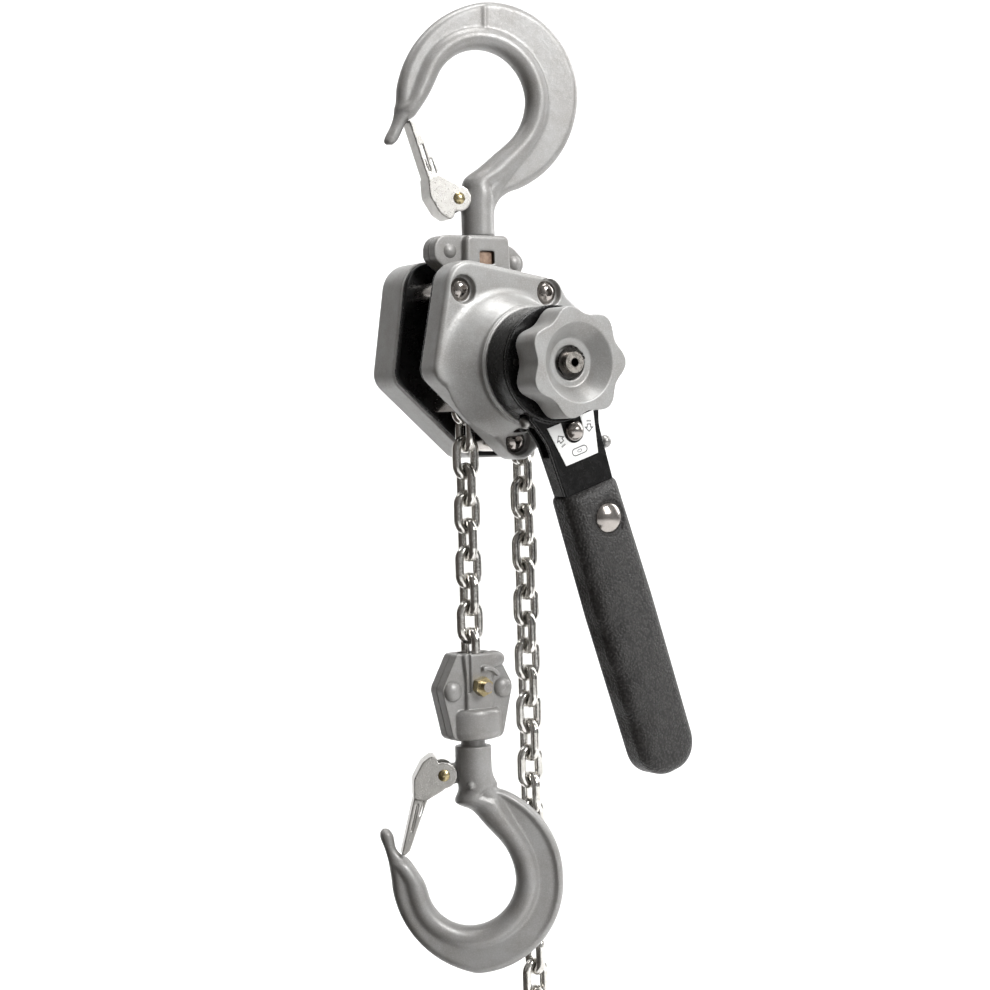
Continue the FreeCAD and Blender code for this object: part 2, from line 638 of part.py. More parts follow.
def block_half(side):
    """One half of the swivel block between the load chain and the bottom hook."""
    y0, y1 = sorted((0, side * BLOCK_LOBE))
    body = plate(BLOCK_OUTLINE, y0, y1)
    y0, y1 = sorted((0, side * BLOCK_HALF))
    rib = plate([(-8, -124, 1.5), (8.6, -124, 1.5), (6.6, -136, 4), (7, -150, 2), (-7, -150, 2), (-6.6, -136, 4)],
                y0, y1)
    rib = round_edges_at(rib, side * BLOCK_HALF, 1.2)
    barrel = cyl_z(10.8, -161.2, -149.0).fuse(Part.makeCone(8.6, 10.8, 2.0, vec(0, 0, -149), vec(0, 0, -1)))
    keep = box(-30, 30, y0 - (12 if side < 0 else 0), y1 + (12 if side > 0 else 0), -170, -120)
    body = body.fuse([rib, barrel.common(keep)])
    body = body.cut(box(-8.4, 8.4, -2.7, 2.7, -146.5, -120))
    body = body.cut(box(-4.4, 4.4, -6.8, 6.8, -134.6, -120))
    body = body.cut(cyl_z(8.3, -158.6, -148.2)).cut(cyl_z(5.6, -165, -158))
    if side < 0:
        hood = cyl_y(7.4, -BLOCK_HALF - 2.2, -BLOCK_HALF + 1, 2.5, BLOCK_BOLT_Z + 1.2)
        hood = hood.cut(cyl_y(5.6, -20, 0, 2.5, BLOCK_BOLT_Z + 1.2))
        body = body.fuse(hood.common(box(0.5, 9, -20, 0, -134.5, -125)))
        body = body.cut(box(-6.4, -4.6, -20, -BLOCK_HALF + 1.4, -141, -120))
    body = body.cut(cyl_y(2.2, -12, 12, 0, BLOCK_BOLT_Z))
    for x, z in BLOCK_RIVETS:
        body = body.cut(cyl_y(2.4, -10, 10, x, z))
    body.translate(vec(-STRAND_X, 0, 0))
    return clean(body)


def anchor_bolt():
    """Bolt through the block and the last link; its head is at the rear, its thread at the front."""
    body = cyl_y(2.2, -14.4, BLOCK_HALF)
    head = cyl_y(4.2, BLOCK_HALF, BLOCK_HALF + 3.0)
    body = clean(body.fuse(head))
    body.translate(vec(-STRAND_X, 0, BLOCK_BOLT_Z))
    return body


def anchor_nut():
    corner = 7.6 / math.sqrt(3)
    turns = [math.radians(a) for a in range(20, 380, 60)]
    points = [(corner * math.cos(a), corner * math.sin(a)) for a in turns]
    body = polygon(points, -BLOCK_HALF - 3.6, -BLOCK_HALF).cut(cyl_y(2.2, -20, 0))
    body.translate(vec(-STRAND_X, 0, BLOCK_BOLT_Z))
    return clean(body)


# ------------------------------------------------------------------ brake

def friction_hub():
    body = cyl_y(15.0, -15.5, -13.0).fuse(cyl_y(9.0, -22.5, -15.0))
    return clean(body.cut(cyl_y(SHAFT, -30, 0)))


def ratchet_disc():
    teeth = 20
    root = RATCHET_TIP - 2.6
    points = []
    for tooth in range(teeth):
        start = 2 * math.pi * tooth / teeth
        points.append((RATCHET_TIP * math.cos(start), RATCHET_TIP * math.sin(start)))
        points.append((root * math.cos(start + 0.03), root * math.sin(start + 0.03)))
    body = polygon(points, *RATCHET_Y)
    return clean(body.cut(cyl_y(9.0 + FIT, -30, 0)))


def brake_pawl(x, z):
    """Pawl on its pin; its nose stands just clear of the ratchet's teeth."""
    pin_angle = math.atan2(z, x)
    nose_angle = pin_angle + math.radians(26)
    nose_radius = RATCHET_TIP + 0.35 + 1.2
    nose = (nose_radius * math.cos(nose_angle), nose_radius * math.sin(nose_angle))
    body = cyl_y(4.0, *RATCHET_Y, x, z).fuse(cyl_y(1.2, *RATCHET_Y, *nose))
    along = vec(nose[0] - x, 0, nose[1] - z).normalize()
    side = vec(-along.z, 0, along.x)
    corners = [(x + side.x * 3.2, z + side.z * 3.2), (nose[0] + side.x * 1.2, nose[1] + side.z * 1.2),
               (nose[0] - side.x * 1.2, nose[1] - side.z * 1.2), (x - side.x * 2.6, z - side.z * 2.6)]
    body = body.fuse(polygon(corners, *RATCHET_Y))
    return clean(body.cut(cyl_y(2.0 + FIT, -30, 0, x, z)))


def pawl_pin(x, z):
    return cyl_y(2.0, -23.2, -GAP, x, z)


def pawl_spring(x, z):
    return coil(3.0, 0.8, 1.2, 3, vec(x, -12.6, z), vec(0, -1, 0))


def change_gear():
    """Toothed nut of the brake: clamps the ratchet disc, and the lever's pawl drives its teeth."""
    teeth = 16
    root = CHANGE_TIP - 2.6
    points = []
    flanks = ((-0.10, root), (-0.05, CHANGE_TIP), (0.05, CHANGE_TIP), (0.10, root))
    for tooth in range(teeth):
        start = 2 * math.pi * (tooth + 0.25) / teeth
        for offset, radius in flanks:
            points.append((radius * math.cos(start + offset), radius * math.sin(start + offset)))
    crown = polygon(points, -47.0, -40.0)
    body = cyl_y(17.0, -25.5, -22.5).fuse([cyl_y(HUB_RADIUS - 1.5, -38.5, -25.0), crown])
    body = body.fuse([cyl_y(HUB_RADIUS, -40.0, -35.2), cyl_y(9.0, -53.0, -46.0)])
    return clean(body.cut(cyl_y(SHAFT, -60, 0)))


# ------------------------------------------------------------------ lever, drawn pointing straight down

def tilt(shape):
    shape = shape.copy()
    shape.rotate(vec(0, 0, 0), vec(0, 1, 0), -TILT)
    return shape


def neck(y0, y1, inset=0.0):
    return plate(LEVER_OUTLINE, y0, y1, inset)


def lever_housing():
    """Rear shell of the lever: a drum round the change gear, and a channel that leads to the grip."""
    wall = 2.0
    drum = cyl_y(DRUM_RADIUS, *DRUM_Y)
    body = drum.fuse(neck(*NECK_Y))
    body = body.cut(cyl_y(DRUM_RADIUS - wall, DRUM_Y[0] - 1, DRUM_Y[1] - wall))
    body = body.cut(neck(NECK_Y[0] - 1, NECK_Y[1] - wall, wall))
    body = body.cut(neck(DRUM_Y[0] - 1, NECK_Y[0]))
    body = body.cut(cyl_y(HUB_RADIUS + FIT, -40, -30))
    body = body.fuse(box(-10, 10, NECK_Y[0], NECK_Y[1], -150, -54.2))
    for side, centre in ((-1, -26.5), (1, -33.2)):
        low, high = sorted((side * 8, side * 22))
        body = body.cut(box(low, high, -46.4, -41.1, centre - SLOT_HALF, centre + SLOT_HALF))
    body = body.cut(cyl_y(2.5, -60, -30, 0, -PIVOT_ALONG))
    body = body.cut(cyl_y(2.5, -60, -30, 2.6, -70))
    for x, z in DRUM_RIVETS:
        body = body.fuse(cyl_y(3.4, DRUM_Y[0], DRUM_Y[1] - 1, x, z))
        body = body.cut(cyl_y(1.6, -60, -30, x, z))
    return clean(body)


def lever_cover():
    """Front plate that closes the lever's drum and channel."""
    body = cyl_y(DRUM_RADIUS, COVER_Y, DRUM_Y[0])
    inner = neck(NECK_Y[0] - 2.0, NECK_Y[0]).cut(cyl_y(CHANGE_TIP + 0.6, -60, -30))
    body = body.fuse(inner)
    body = body.cut(cyl_y(9.0 + FIT, -60, -30)).cut(cyl_y(2.5, -60, -30, 0, -PIVOT_ALONG))
    for x, z in DRUM_RIVETS:
        body = body.cut(cyl_y(1.6, -60, -30, x, z))
    return clean(body)


def lever_rivet(x, z):
    return rivet(x, z, COVER_Y, DRUM_Y[1], 1.6, 2.8, 0.9)


def selector():
    """Rocker with a pawl nose for each direction and a thumb piece at each side, turned one way."""
    y0, y1 = -45.9, -41.6
    body = cyl_y(6.0, y0, y1)
    for degrees in (90 - 25, 90 + 25):
        angle = math.radians(degrees)
        nose = vec(14.0 * math.cos(angle), 0, 14.0 * math.sin(angle))
        arm = box(0, 13.6, y0, y1, -2.0, 2.0)
        arm.rotate(vec(0, 0, 0), vec(0, 1, 0), -degrees)
        body = body.fuse([arm, cyl_y(1.2, y0, y1, nose.x, nose.z)])
    ends = {-1: (20.6, 171.0), 1: (20.7, -11.8)}
    for side, (reach, degrees) in ends.items():
        arm = box(0, reach, y0 + 0.4, y1 - 0.4, -1.5, 1.5)
        arm.rotate(vec(0, 0, 0), vec(0, 1, 0), -degrees)
        angle = math.radians(degrees)
        knob = Part.makeSphere(2.8, vec(reach * math.cos(angle), (y0 + y1) / 2, reach * math.sin(angle)))
        body = body.fuse([arm, knob])
    body = body.cut(cyl_y(2.5 + FIT, -60, -30))
    body.rotate(vec(0, 0, 0), vec(0, 1, 0), SELECTOR_REST)
    body.translate(vec(0, 0, -PIVOT_ALONG))
    return clean(body)


def selector_pin():
    body = cyl_y(2.5, -49.5, -39.5, 0, -PIVOT_ALONG)
    ball = Part.makeSphere(4.6, vec(0, -49.2, -PIVOT_ALONG))
    dome = ball.common(cyl_y(4.3, -54, -49.5, 0, -PIVOT_ALONG))
    return clean(body.fuse(dome))


def label_plate():
    points = [(-12.4, -24.6), (12.4, -24.6), (8.6, -42.6), (-8.6, -42.6)]
    body = polygon(points, -49.95, -49.5)
    body = body.cut(cyl_y(5.2, -51, -49, 0, -PIVOT_ALONG)).cut(box(-5.2, 5.2, -51, -49, -PIVOT_ALONG, -20))
    body = body.cut(cyl_y(DRUM_RADIUS + 0.1, -51, -49))
    solids = sorted(body.Solids, key=lambda solid: solid.Volume)
    return solids[-1]


def grip():
    """Rubber grip: thick flat handle with rounded sides and end, moulded over the lever's tang."""
    corners = [(-14.0, -GRIP_START, 2), (14.0, -GRIP_START, 2), (GRIP_HALF, -110, 60),
               (14.6, -GRIP_END, 13), (-14.6, -GRIP_END, 13), (-GRIP_HALF, -110, 60)]
    body = plate(corners, GRIP_Y - GRIP_THICK, GRIP_Y + GRIP_THICK)
    body = round_edges_at(body, GRIP_Y - GRIP_THICK, 5.5)
    body = round_edges_at(body, GRIP_Y + GRIP_THICK, 5.5)
    body = body.cut(box(-10, 10, NECK_Y[0], NECK_Y[1], -150, -50))
    body = body.cut(neck(NECK_Y[0] - 2.0, NECK_Y[1]))
    body = body.cut(cyl_y(2.5, -70, -20, 2.6, -70))
    for side in (-1, 1):
        y0, y1 = sorted(GRIP_Y + side * (GRIP_THICK + offset) for offset in (-1.4, 1))
        body = body.cut(cyl_y(GRIP_SEAT, y0, y1, 2.6, -70))
    return clean(body)


def grip_rivet():
    y0 = GRIP_Y - GRIP_THICK + 1.4
    y1 = GRIP_Y + GRIP_THICK - 1.4
    return rivet(2.6, -70, y0, y1, 2.5, GRIP_HEAD, 2.6)


# ------------------------------------------------------------------ hand wheel

def handwheel():
    """Dished seven-lobed wheel with a counterbore for the retaining ring."""
    steps = 12
    spots = []
    for step in range(WHEEL_LOBES * steps):
        angle = 2 * math.pi * step / (WHEEL_LOBES * steps)
        radius = WHEEL_RADIUS - LOBE_DEPTH + LOBE_DEPTH * math.cos(WHEEL_LOBES * angle)
        spots.append(vec(radius * math.cos(angle), WHEEL_Y[0], radius * math.sin(angle)))
    curve = Part.BSplineCurve()
    curve.interpolate(spots, True)
    body = Part.Face(Part.Wire(curve.toShape())).extrude(vec(0, WHEEL_Y[1] - WHEEL_Y[0], 0))
    dish = Part.makeCone(16.8, 10.2, 7.0, vec(0, WHEEL_Y[0], 0), vec(0, 1, 0))
    body = body.cut(dish).cut(cyl_y(7.2, -70, COUNTERBORE_Y)).cut(cyl_y(SHAFT + FIT, -70, -40))
    body = body.cut(tube_y(18.0, 9.0, -60.5, -50)).cut(cyl_y(7.0, -57.0, -50))
    return clean(body)


def handwheel_spring():
    return coil(6.0, 0.8, 1.1, 2.2, vec(0, -53.5, 0), vec(0, -1, 0))


def snap_ring():
    body = tube_y(6.3, SHAFT - 0.6, -63.2, -62.2)
    body = body.cut(box(-1.4, 1.4, -64, -61, 0, 10))
    for x in (-2.6, 2.6):
        body = body.fuse(tube_y(1.5, 0.6, -63.2, -62.2, x, 5.9).cut(cyl_y(SHAFT - 0.6, -64, -61)))
    body = body.common(cyl_y(7.0, -64, -61))
    body.rotate(vec(0, 0, 0), vec(0, 1, 0), 40)
    return clean(body)


# ------------------------------------------------------------------ build

def main():
    os.makedirs("parts", exist_ok=True)
    save("top_hook", place_top(hook_body(TOP_PROFILE, 5.5, 14.6)))
    save("top_swivel_nut", hex_nut(14.0, 43.6, 50.9, 5.5, TOP_X))
    save("top_latch", place_top(latch(TOP_PROFILE)))
    save("top_latch_pin", place_top(latch_pin(TOP_PROFILE)))
    save("top_latch_spring", *[place_top(latch_spring(TOP_PROFILE, side)) for side in (-1, 1)])
    save("yoke_front", yoke_half(-1))
    save("yoke_rear", yoke_half(1))
    save("yoke_rivets", *[rivet(x, z, -YOKE_LOBE, YOKE_LOBE, 2.2, 3.2, 1.2) for x, z in YOKE_RIVETS])
    save("suspension_pins", *[cyl_y(PIN_RADIUS, -PLATE_OUT, PLATE_OUT, x, z) for x, z in SUSPENSION])
    save("front_frame_plate", frame_plate(True))
    save("rear_frame_plate", frame_plate(False))
    save("stay_rods", *[stay_rod(x, z) for x, z in STAYS])
    save("front_screws", *[cover_screw(x, z, -1) for x, z in STAYS])
    save("rear_screws", *[cover_screw(x, z, 1) for x, z in STAYS])
    save("brake_cover", brake_cover())
    save("gear_cover", gear_cover())
    save("sheave_bearings", sheave_bearing(-1), sheave_bearing(1))
    save("chain_stripper", chain_stripper())
    save("chain_guides", chain_guide(-1), chain_guide(1))
    save("load_sheave", load_sheave())
    save("load_gear", clean(gear(LOAD_TEETH, 13.2, 18.2, 180.0).cut(cyl_y(JOURNAL - 0.5, 10, 20))))
    save("sheave_chain", *wrapped_links())
    save("compound_gear_left", compound_gear(-CENTRES))
    save("compound_gear_right", compound_gear(CENTRES))
    save("drive_shaft", drive_shaft())
    save("friction_hub", friction_hub())
    save("friction_disc_rear", tube_y(17.0, 9.0, -17.5, -15.5))
    save("friction_disc_front", tube_y(17.0, 9.0, -22.5, -20.5))
    save("ratchet_disc", ratchet_disc())
    for name, (x, z) in PAWL_PINS.items():
        save(name, brake_pawl(x, z))
    save("pawl_pins", *[pawl_pin(x, z) for x, z in PAWL_PINS.values()])
    save("pawl_springs", *[pawl_spring(x, z) for x, z in PAWL_PINS.values()])
    save("change_gear", change_gear())
    save("lever_housing", tilt(lever_housing()))
    save("lever_cover", tilt(lever_cover()))
    save("lever_rivets", *[tilt(lever_rivet(x, z)) for x, z in DRUM_RIVETS])
    save("selector", tilt(selector()))
    save("selector_pin", tilt(selector_pin()))
    save("label_plate", tilt(label_plate()))
    save("grip", tilt(grip()))
    save("grip_rivet", tilt(grip_rivet()))
    save("handwheel", handwheel())
    save("handwheel_spring", handwheel_spring())
    save("snap_ring", snap_ring())
    top_link = ANCHOR_LINK_Z + (LOAD_LINKS - 1) * PITCH
    save("load_chain", *strand(-STRAND_X, top_link, LOAD_LINKS, True))
    save("idle_chain", *strand(STRAND_X, IDLE_TOP_Z, IDLE_LINKS, True))
    save("chain_end_ring", end_ring())
    save("block_front", block_half(-1))
    save("block_rear", block_half(1))
    block_rivets = [rivet(x - STRAND_X, z, -BLOCK_LOBE, BLOCK_LOBE, 2.4, 3.8, 2.0) for x, z in BLOCK_RIVETS]
    save("block_rivets", *block_rivets)
    save("anchor_bolt", anchor_bolt())
    save("anchor_nut", anchor_nut())
    save("bottom_hook", place_bottom(hook_body(BOTTOM_PROFILE, 5.3, 15.5)))
    save("bottom_swivel_nut", hex_nut(13.5, -158.2, -151.0, 5.3, -STRAND_X))
    save("bottom_latch", place_bottom(latch(BOTTOM_PROFILE)))
    save("bottom_latch_pin", place_bottom(latch_pin(BOTTOM_PROFILE)))
    save("bottom_latch_spring", *[place_bottom(latch_spring(BOTTOM_PROFILE, side)) for side in (-1, 1)])


main()
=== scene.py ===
"""Looks of the lever chain hoist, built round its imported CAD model. Metres, row frame."""

import json
import math

import bmesh
import bpy
import numpy as np
from mathutils import Matrix, Vector

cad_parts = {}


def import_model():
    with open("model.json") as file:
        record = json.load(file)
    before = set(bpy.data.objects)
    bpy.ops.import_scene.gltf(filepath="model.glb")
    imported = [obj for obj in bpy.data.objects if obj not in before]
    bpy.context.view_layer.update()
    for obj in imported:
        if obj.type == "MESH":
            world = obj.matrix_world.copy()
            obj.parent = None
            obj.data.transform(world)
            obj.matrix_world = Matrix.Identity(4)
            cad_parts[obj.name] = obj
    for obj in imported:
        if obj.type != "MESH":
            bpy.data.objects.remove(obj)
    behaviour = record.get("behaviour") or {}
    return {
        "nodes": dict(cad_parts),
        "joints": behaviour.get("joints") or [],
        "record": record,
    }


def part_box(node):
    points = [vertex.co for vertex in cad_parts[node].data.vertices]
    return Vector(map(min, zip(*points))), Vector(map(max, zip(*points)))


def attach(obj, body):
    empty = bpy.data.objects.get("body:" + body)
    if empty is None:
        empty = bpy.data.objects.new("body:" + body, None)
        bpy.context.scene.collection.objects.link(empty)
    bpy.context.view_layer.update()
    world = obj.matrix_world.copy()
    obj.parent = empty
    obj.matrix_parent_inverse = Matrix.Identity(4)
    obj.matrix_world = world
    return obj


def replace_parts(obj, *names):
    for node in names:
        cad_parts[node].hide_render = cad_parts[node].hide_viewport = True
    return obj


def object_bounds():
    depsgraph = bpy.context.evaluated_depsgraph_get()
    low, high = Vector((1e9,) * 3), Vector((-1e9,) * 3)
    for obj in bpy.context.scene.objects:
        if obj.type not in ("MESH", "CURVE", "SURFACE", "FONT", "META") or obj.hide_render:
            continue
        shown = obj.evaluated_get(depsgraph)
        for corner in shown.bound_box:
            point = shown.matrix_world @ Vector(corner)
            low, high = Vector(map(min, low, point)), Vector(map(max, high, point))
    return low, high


MM = 0.001

# ---- camera
CAMERA_AZIMUTH = -31.79
CAMERA_ELEVATION = 1.46
CAMERA_ROLL = 1.49
CAMERA_DISTANCE = 0.9411
CAMERA_TARGET = Vector((2.057, 0.600, -195.3)) * MM
CAMERA_LENS = 77.47
CAMERA_SENSOR = 36
CAMERA_CLIP = (0.05, 50)

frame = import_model()
cad_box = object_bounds()
nodes = frame["nodes"]
joints = {joint["name"]: joint for joint in frame["joints"]}
slot_of = {part["node"]: part["material_slot"] for part in frame["record"]["subparts"]}
body_of = {member: body for body, members in frame["record"]["behaviour"]["bodies"].items()
           for member in members}

shaft = Vector(joints["lever_swing"]["pos_m"])
pivot = Vector(joints["selector_turn"]["pos_m"])
along = Vector((pivot.x - shaft.x, 0, pivot.z - shaft.z)).normalized()
lateral = Vector((-along.z, 0, along.x))


# ------------------------------------------------------------------ node helpers

def toned(colour, factor):
    """The colour made lighter or darker by that factor."""
    return tuple(min(1.0, c * factor) for c in colour)


class Shader:
    """A new material with its principled shader, and short calls to add nodes to it."""

    def __init__(self, name, colour, metallic, roughness, **inputs):
        self.material = bpy.data.materials.new(name)
        self.material.use_nodes = True
        self.tree = self.material.node_tree
        self.bsdf = self.tree.nodes["Principled BSDF"]
        self.bsdf.inputs["Base Color"].default_value = (*colour, 1)
        self.bsdf.inputs["Metallic"].default_value = metallic
        self.bsdf.inputs["Roughness"].default_value = roughness
        for socket, value in inputs.items():
            self.bsdf.inputs[socket.replace("_", " ")].default_value = value
        self.where = self.add("ShaderNodeTexCoord").outputs["Object"]
        self.bumped = None

    def add(self, kind, **values):
        node = self.tree.nodes.new(kind)
        for key, value in values.items():
            setattr(node, key, value)
        return node

    def link(self, output, socket):
        self.tree.links.new(output, socket)

    def noise(self, size, detail=3.0, roughness=0.55, stretch=(1, 1, 1)):
        """Noise whose features are about that many metres across."""
        mapping = self.add("ShaderNodeMapping")
        mapping.inputs["Scale"].default_value = [s / size for s in stretch]
        self.link(self.where, mapping.inputs["Vector"])
        node = self.add("ShaderNodeTexNoise")
        node.inputs["Scale"].default_value = 1.0
        node.inputs["Detail"].default_value = detail
        node.inputs["Roughness"].default_value = roughness
        self.link(mapping.outputs["Vector"], node.inputs["Vector"])
        return node.outputs["Fac"]

    def cells(self, size, feature="SMOOTH_F1"):
        """Rounded cells about that many metres across."""
        mapping = self.add("ShaderNodeMapping")
        mapping.inputs["Scale"].default_value = [1 / size] * 3
        self.link(self.where, mapping.inputs["Vector"])
        node = self.add("ShaderNodeTexVoronoi", feature=feature)
        node.inputs["Scale"].default_value = 1.0
        self.link(mapping.outputs["Vector"], node.inputs["Vector"])
        return node.outputs["Distance"]

    def spread(self, value, low, high, out_low, out_high):
        """The value's stretch from low to high, laid over another range."""
        node = self.add("ShaderNodeMapRange")
        node.inputs["From Min"].default_value = low
        node.inputs["From Max"].default_value = high
        node.inputs["To Min"].default_value = out_low
        node.inputs["To Max"].default_value = out_high
        self.link(value, node.inputs["Value"])
        return node.outputs["Result"]

    def mix(self, factor, first, second):
        """Colour between two, each a colour or an output."""
        node = self.add("ShaderNodeMix", data_type="RGBA")
        self.link(factor, node.inputs["Factor"])
        for value, socket in ((first, node.inputs[6]), (second, node.inputs[7])):
            if isinstance(value, tuple):
                socket.default_value = (*value, 1)
            else:
                self.link(value, socket)
        return node.outputs[2]

    def edges(self, low, high, most):
        """That much on sharp outer edges and 0 elsewhere."""
        return self.spread(self.add("ShaderNodeNewGeometry").outputs["Pointiness"], low, high, 0, most)

    def hollows(self, low, high, most):
        """That much in sharp inner corners and 0 elsewhere."""
        return self.spread(self.add("ShaderNodeNewGeometry").outputs["Pointiness"], low, high, most, 0)

    def colour(self, output):
        self.link(output, self.bsdf.inputs["Base Color"])

    def rough(self, output):
        self.link(output, self.bsdf.inputs["Roughness"])

    def bump(self, height, distance, strength=1.0):
        """Add a bump of that depth in metres on top of those added before."""
        node = self.add("ShaderNodeBump")
        node.inputs["Strength"].default_value = strength
        node.inputs["Distance"].default_value = distance
        self.link(height, node.inputs["Height"])
        if self.bumped:
            self.link(self.bumped, node.inputs["Normal"])
        self.bumped = node.outputs["Normal"]
        self.link(self.bumped, self.bsdf.inputs["Normal"])


# ------------------------------------------------------------------ materials

def silver_paint(name, colour, roughness, dark=0.80, speck=0.55 * MM, metallic=0.28):
    """Silver-grey paint over a casting: fine flake, sandy grain, slight soiling, painted shade in inner
    corners, and paler edges that are partly wear and partly painted highlight.
    """
    shader = Shader(name, colour, metallic, roughness, Coat_Weight=0.16, Coat_Roughness=0.30)
    flake = shader.noise(speck, 3, 0.7)
    clouds = shader.noise(11 * MM, 5, 0.65)
    soiled = tuple(c * dark * t for c, t in zip(colour, (1.02, 0.99, 0.96)))
    base = shader.mix(shader.spread(clouds, 0.33, 0.66, 0, 1), soiled, colour)
    flaked = shader.mix(shader.spread(flake, 0.50, 0.78, 0, 0.8), base, toned(colour, 1.30))
    pits = shader.spread(flake, 0.22, 0.40, 0.55, 0)
    grimy = shader.mix(pits, flaked, toned(colour, 0.55))
    # Painted shade: the colour darkens to half in sharp inner corners.
    shaded = shader.mix(shader.hollows(0.40, 0.485, 0.5), grimy, toned(colour, 0.5))
    # Paler sharp outer edges: partly edge wear, partly a painted highlight.
    shader.colour(shader.mix(shader.edges(0.54, 0.68, 0.35), shaded, toned(colour, 1.35)))
    shader.rough(shader.spread(shader.noise(1.2 * MM, 4), 0.3, 0.7, roughness - 0.07, roughness + 0.12))
    shader.bump(shader.noise(1.8 * MM, 3), 0.09 * MM, 0.6)
    shader.bump(flake, 0.04 * MM, 0.6)
    return shader.material


def black_enamel(name, colour, roughness, wear_and_hollow_shade=0.0):
    """Black enamel on pressed steel, dusty in patches, and worn along its edges by that much."""
    shader = Shader(name, colour, 0.0, roughness, Coat_Weight=0.05, Coat_Roughness=0.14,
                    Specular_IOR_Level=0.24)
    scuffs = shader.spread(shader.noise(5 * MM, 6, 0.7), 0.6, 0.85, 0, 0.10)
    dusty = shader.mix(scuffs, colour, (0.04, 0.038, 0.036))
    fine = shader.spread(shader.noise(0.7 * MM, 3, 0.7, (1, 3, 1)), 0.70, 0.82, 0, 0.30)
    specked = shader.mix(fine, dusty, (0.06, 0.058, 0.056))
    if wear_and_hollow_shade:
        specked = shader.mix(shader.edges(0.55, 0.66, wear_and_hollow_shade), specked, (0.25, 0.24, 0.235))
    shader.colour(specked)
    shader.rough(shader.spread(shader.noise(3 * MM, 5), 0.3, 0.7, roughness - 0.06, roughness + 0.14))
    shader.bump(shader.noise(0.9 * MM, 2), 0.03 * MM, 0.6)
    return shader.material


def bare_steel(name, colour, roughness, brushed=None, tint=None, pits=0.0, wear_and_hollow_shade=0.0):
    """Bare or plated metal, with fine marks along one axis where it is brushed, and painted shade in its
    sharp inner hollows, as strong as the last argument asks.
    """
    shader = Shader(name, colour, 1.0, roughness)
    marks = shader.noise(0.5 * MM, 4, 0.65, brushed or (1, 1, 1))
    clouds = shader.spread(shader.noise(3 * MM, 5, 0.65), 0.33, 0.68, 0, 1)
    body = shader.mix(clouds, tint or toned(colour, 0.70), colour)
    # Painted shade: the colour darkens in sharp inner hollows.
    if wear_and_hollow_shade:
        body = shader.mix(shader.hollows(0.40, 0.50, wear_and_hollow_shade), body, toned(colour, 0.25))
    shader.colour(body)
    shader.rough(shader.spread(marks, 0.3, 0.7, roughness * 0.7, roughness * 1.5))
    shader.bump(marks, 0.015 * MM, 0.5)
    if pits:
        shader.bump(shader.noise(1.2 * MM, 3), pits, 0.7)
    return shader.material


def bored_steel(name, colour, roughness, middle, radius):
    """Turned steel with its cut end, and its centre hole drawn as a near-black disc of painted shade, told
    by the distance from its axis.
    """
    shader = Shader(name, colour, 1.0, roughness)
    offset = shader.add("ShaderNodeVectorMath", operation="SUBTRACT")
    offset.inputs[1].default_value = middle
    shader.link(shader.where, offset.inputs[0])
    flat = shader.add("ShaderNodeVectorMath", operation="MULTIPLY")
    flat.inputs[1].default_value = (1, 0, 1)
    shader.link(offset.outputs["Vector"], flat.inputs[0])
    reach = shader.add("ShaderNodeVectorMath", operation="LENGTH")
    shader.link(flat.outputs["Vector"], reach.inputs[0])
    # Painted shade: a near-black disc stands for the shaded inside of the centre hole.
    hole_shade = shader.spread(reach.outputs["Value"], radius * 0.9, radius * 1.1, 1, 0)
    marks = shader.noise(1.6 * MM, 4, 0.6)
    stained = shader.mix(shader.spread(marks, 0.3, 0.7, 0, 1), toned(colour, 0.85), colour)
    shader.colour(shader.mix(hole_shade, stained, (0.01, 0.01, 0.01)))
    shader.rough(shader.spread(marks, 0.3, 0.7, roughness * 0.8, roughness * 1.5))
    shader.bump(marks, 0.005 * MM, 0.5)
    return shader.material


def rubber(name):
    """Moulded rubber with a fine leathery grain, its crests painted paler as a painted highlight and the
    hollows between them darker as painted shade.
    """
    shader = Shader(name, (0.03, 0.03, 0.03), 0.0, 0.5, Specular_IOR_Level=0.42)
    grain = shader.cells(0.95 * MM)
    fine = shader.noise(0.5 * MM, 4, 0.7)
    dust = shader.spread(shader.noise(9 * MM, 5, 0.65), 0.4, 0.7, 0, 0.35)
    # Painted highlight on the grain's crests and painted shade in the hollows between them.
    crest_light_pit_shade = shader.mix(shader.spread(grain, 0.1, 0.6, 1, 0), (0.0045, 0.0040, 0.0037),
                      (0.024, 0.0222, 0.0208))
    shader.colour(shader.mix(dust, crest_light_pit_shade, (0.030, 0.0275, 0.0258)))
    shader.rough(shader.spread(fine, 0.3, 0.7, 0.38, 0.60))
    shader.bump(shader.spread(grain, 0.05, 0.6, 1, 0), 0.30 * MM, 1.0)
    shader.bump(fine, 0.10 * MM, 0.8)
    return shader.material


def lining(name):
    """Moulded friction lining with pale fibres and dark specks."""
    shader = Shader(name, (0.20, 0.14, 0.10), 0.0, 0.85)
    specks = shader.spread(shader.cells(0.8 * MM), 0.1, 0.5, 0, 1)
    fibres = shader.spread(shader.noise(0.5 * MM, 3, 0.6, (1, 1, 6)), 0.58, 0.7, 0, 0.6)
    mixed = shader.mix(specks, (0.10, 0.07, 0.05), (0.24, 0.17, 0.12))
    shader.colour(shader.mix(fibres, mixed, (0.5, 0.42, 0.3)))
    shader.bump(specks, 0.06 * MM)
    return shader.material


